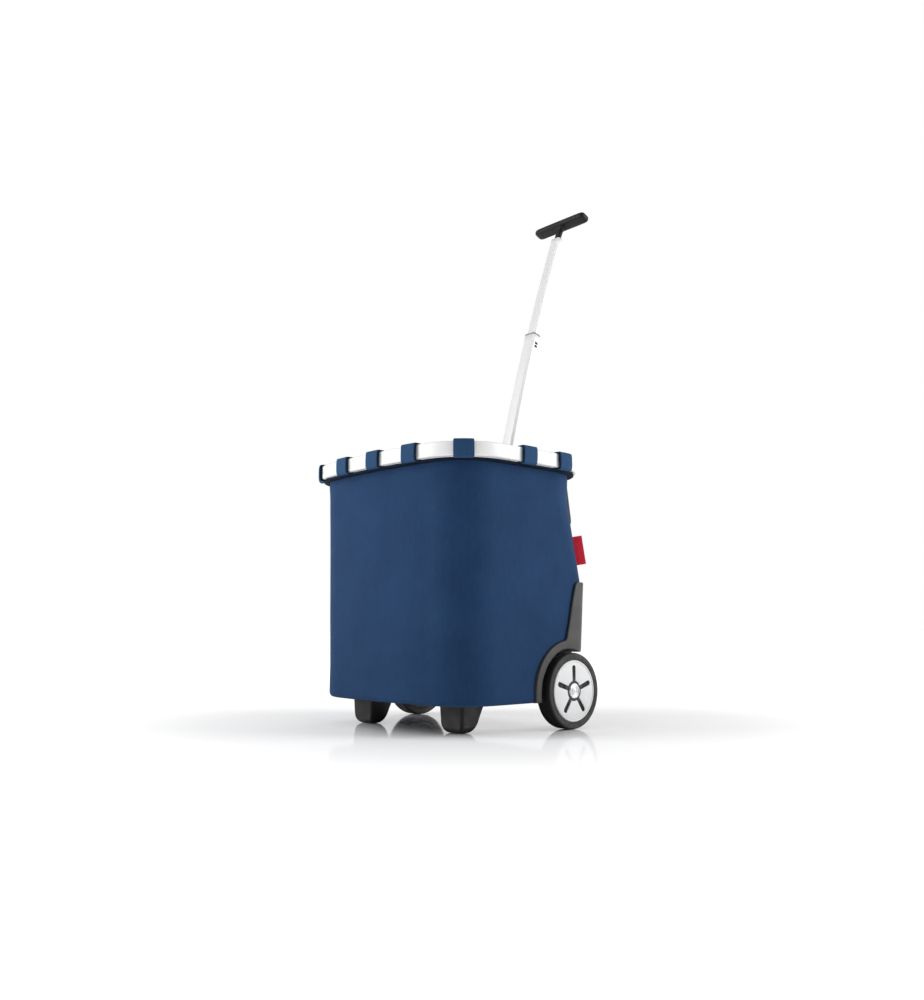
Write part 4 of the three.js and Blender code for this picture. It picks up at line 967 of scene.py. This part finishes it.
# ------------------------------------------------------------------ studio
DARK_SIDE = math.radians(47)
WHITE, DARK = 0.80, 0.04
FLOOR_HALF, FLOOR_DROP = 30, 0.0004
SOFTBOX_POWER, SOFTBOX_SIZE, SOFTBOX_AZIMUTHS = 40, (1.4, 1.8), {"left": -35, "right": 129}
VIEW_AZIMUTH, VIEW_PITCH = math.radians(47.073), math.radians(7.598)
VIEW_DISTANCE, VIEW_RIGHT, VIEW_HEIGHT = 1.64832, 0.02758, 0.16045
SENSOR, LENS = 36, 34.548372


def build_floor():
    """White acrylic: a clear reflection beside the trolley, fading into bright matt white further out."""
    paint = Paint("studio_floor", (0.95, 0.95, 0.95), 0.9, Specular_IOR_Level=0.0)
    parts = paint.node("SeparateXYZ", None, Vector=paint.where())
    flat = paint.node("CombineXYZ", None, X=parts.outputs[0], Y=parts.outputs[1])
    reach = paint.node("VectorMath", {"operation": "LENGTH"}, i0=flat.outputs[0]).outputs["Value"]
    near = paint.span(reach, 0.12, 0.30, 0.55, 0.0)
    far = paint.span(reach, 0.20, 0.70, 0.24, 0.0)
    glow = paint.span(reach, 0.45, 1.5, 0.0, 0.4)
    paint.set(paint.shader, **{"Emission Color": (1, 1, 1, 1), "Emission Strength": glow})
    gloss = paint.node("BsdfGlossy", None, Color=(1, 1, 1, 1), Roughness=0.07)
    mix = paint.node("MixShader")
    paint.set(mix, i0=paint.math("ADD", near, far), i1=paint.shader.outputs[0], i2=gloss.outputs[0])
    output = next(node for node in paint.tree.nodes if node.type == "OUTPUT_MATERIAL")
    paint.set(output, Surface=mix.outputs[0])
    mesh = bpy.data.meshes.new("studio_floor")
    a = FLOOR_HALF
    mesh.from_pydata([(-a, -a, 0), (a, -a, 0), (a, a, 0), (-a, a, 0)], [], [(0, 1, 2, 3)])
    floor = link("studio_floor", mesh)
    floor.location.z = -FLOOR_DROP
    mesh.materials.append(paint.material)


def softbox(name, azimuth, height=1.2, reach=2.4, target=(0, 0, 0.3)):
    """An area light at an azimuth about the trolley (0 is in front of it), aimed at the target."""
    data = bpy.data.lights.new(name, "AREA")
    data.energy = SOFTBOX_POWER
    data.shape = "RECTANGLE"
    data.size, data.size_y = SOFTBOX_SIZE
    light = bpy.data.objects.new(name, data)
    a = math.radians(azimuth)
    light.location = (reach * math.sin(a), -reach * math.cos(a), height)
    light.rotation_euler = (Vector(target) - light.location).to_track_quat("-Z", "Y").to_euler()
    bpy.context.scene.collection.objects.link(light)


def build_world():
    """White all round, and dark beyond the trolley's near corner, as the camera's side of a studio is."""
    world = bpy.data.worlds.new("studio")
    world.use_nodes = True
    tree = world.node_tree
    background = tree.nodes["Background"]
    background.inputs["Color"].default_value = (1, 1, 1, 1)
    direction = tree.nodes.new("ShaderNodeTexCoord").outputs["Generated"]
    facing = tree.nodes.new("ShaderNodeVectorMath")
    facing.operation = "DOT_PRODUCT"
    facing.inputs[1].default_value = (math.sin(DARK_SIDE), -math.cos(DARK_SIDE), 0)
    tree.links.new(direction, facing.inputs[0])
    shade = tree.nodes.new("ShaderNodeMapRange")
    shade.interpolation_type = "SMOOTHSTEP"
    for name, value in (("From Min", 0.35), ("From Max", 0.95), ("To Min", WHITE), ("To Max", DARK)):
        shade.inputs[name].default_value = value
    tree.links.new(facing.outputs["Value"], shade.inputs["Value"])
    seen = tree.nodes.new("ShaderNodeLightPath").outputs["Is Camera Ray"]
    pick = tree.nodes.new("ShaderNodeMix")
    pick.data_type = "FLOAT"
    pick.inputs[3].default_value = 1.0
    tree.links.new(seen, pick.inputs[0])
    tree.links.new(shade.outputs[0], pick.inputs[2])
    tree.links.new(pick.outputs[0], background.inputs["Strength"])
    bpy.context.scene.world = world


def build_studio():
    bpy.context.scene.view_settings.view_transform = "Standard"
    build_floor()
    build_world()
    for side, azimuth in SOFTBOX_AZIMUTHS.items():
        softbox("softbox_" + side, azimuth)


def build_camera():
    back = Vector((math.sin(VIEW_AZIMUTH), -math.cos(VIEW_AZIMUTH), 0))
    right = Vector((math.cos(VIEW_AZIMUTH), math.sin(VIEW_AZIMUTH), 0))
    spot = back * VIEW_DISTANCE + right * VIEW_RIGHT + Vector((0, SHIFT, VIEW_HEIGHT))
    look = -back * math.cos(VIEW_PITCH) + Vector((0, 0, math.sin(VIEW_PITCH)))
    up = Vector((0, 0, math.cos(VIEW_PITCH))) + back * math.sin(VIEW_PITCH)
    data = bpy.data.cameras.new("camera")
    data.sensor_width = SENSOR
    data.lens = LENS
    camera = bpy.data.objects.new("camera", data)
    turn = Matrix((right, up, -look)).transposed().to_4x4()
    camera.matrix_world = Matrix.Translation(spot) @ turn
    bpy.context.scene.collection.objects.link(camera)
    bpy.context.scene.camera = camera


build_camera()
build_studio()
build_rim()
build_loops()
build_bag()
build_hem()
build_tag()
for wheel_side, _ in SIDES:
    build_wheel(wheel_side)
build_pole()
build_clips()
build_grip()
build_feet()
build_mouldings()
dress_cad_nodes()
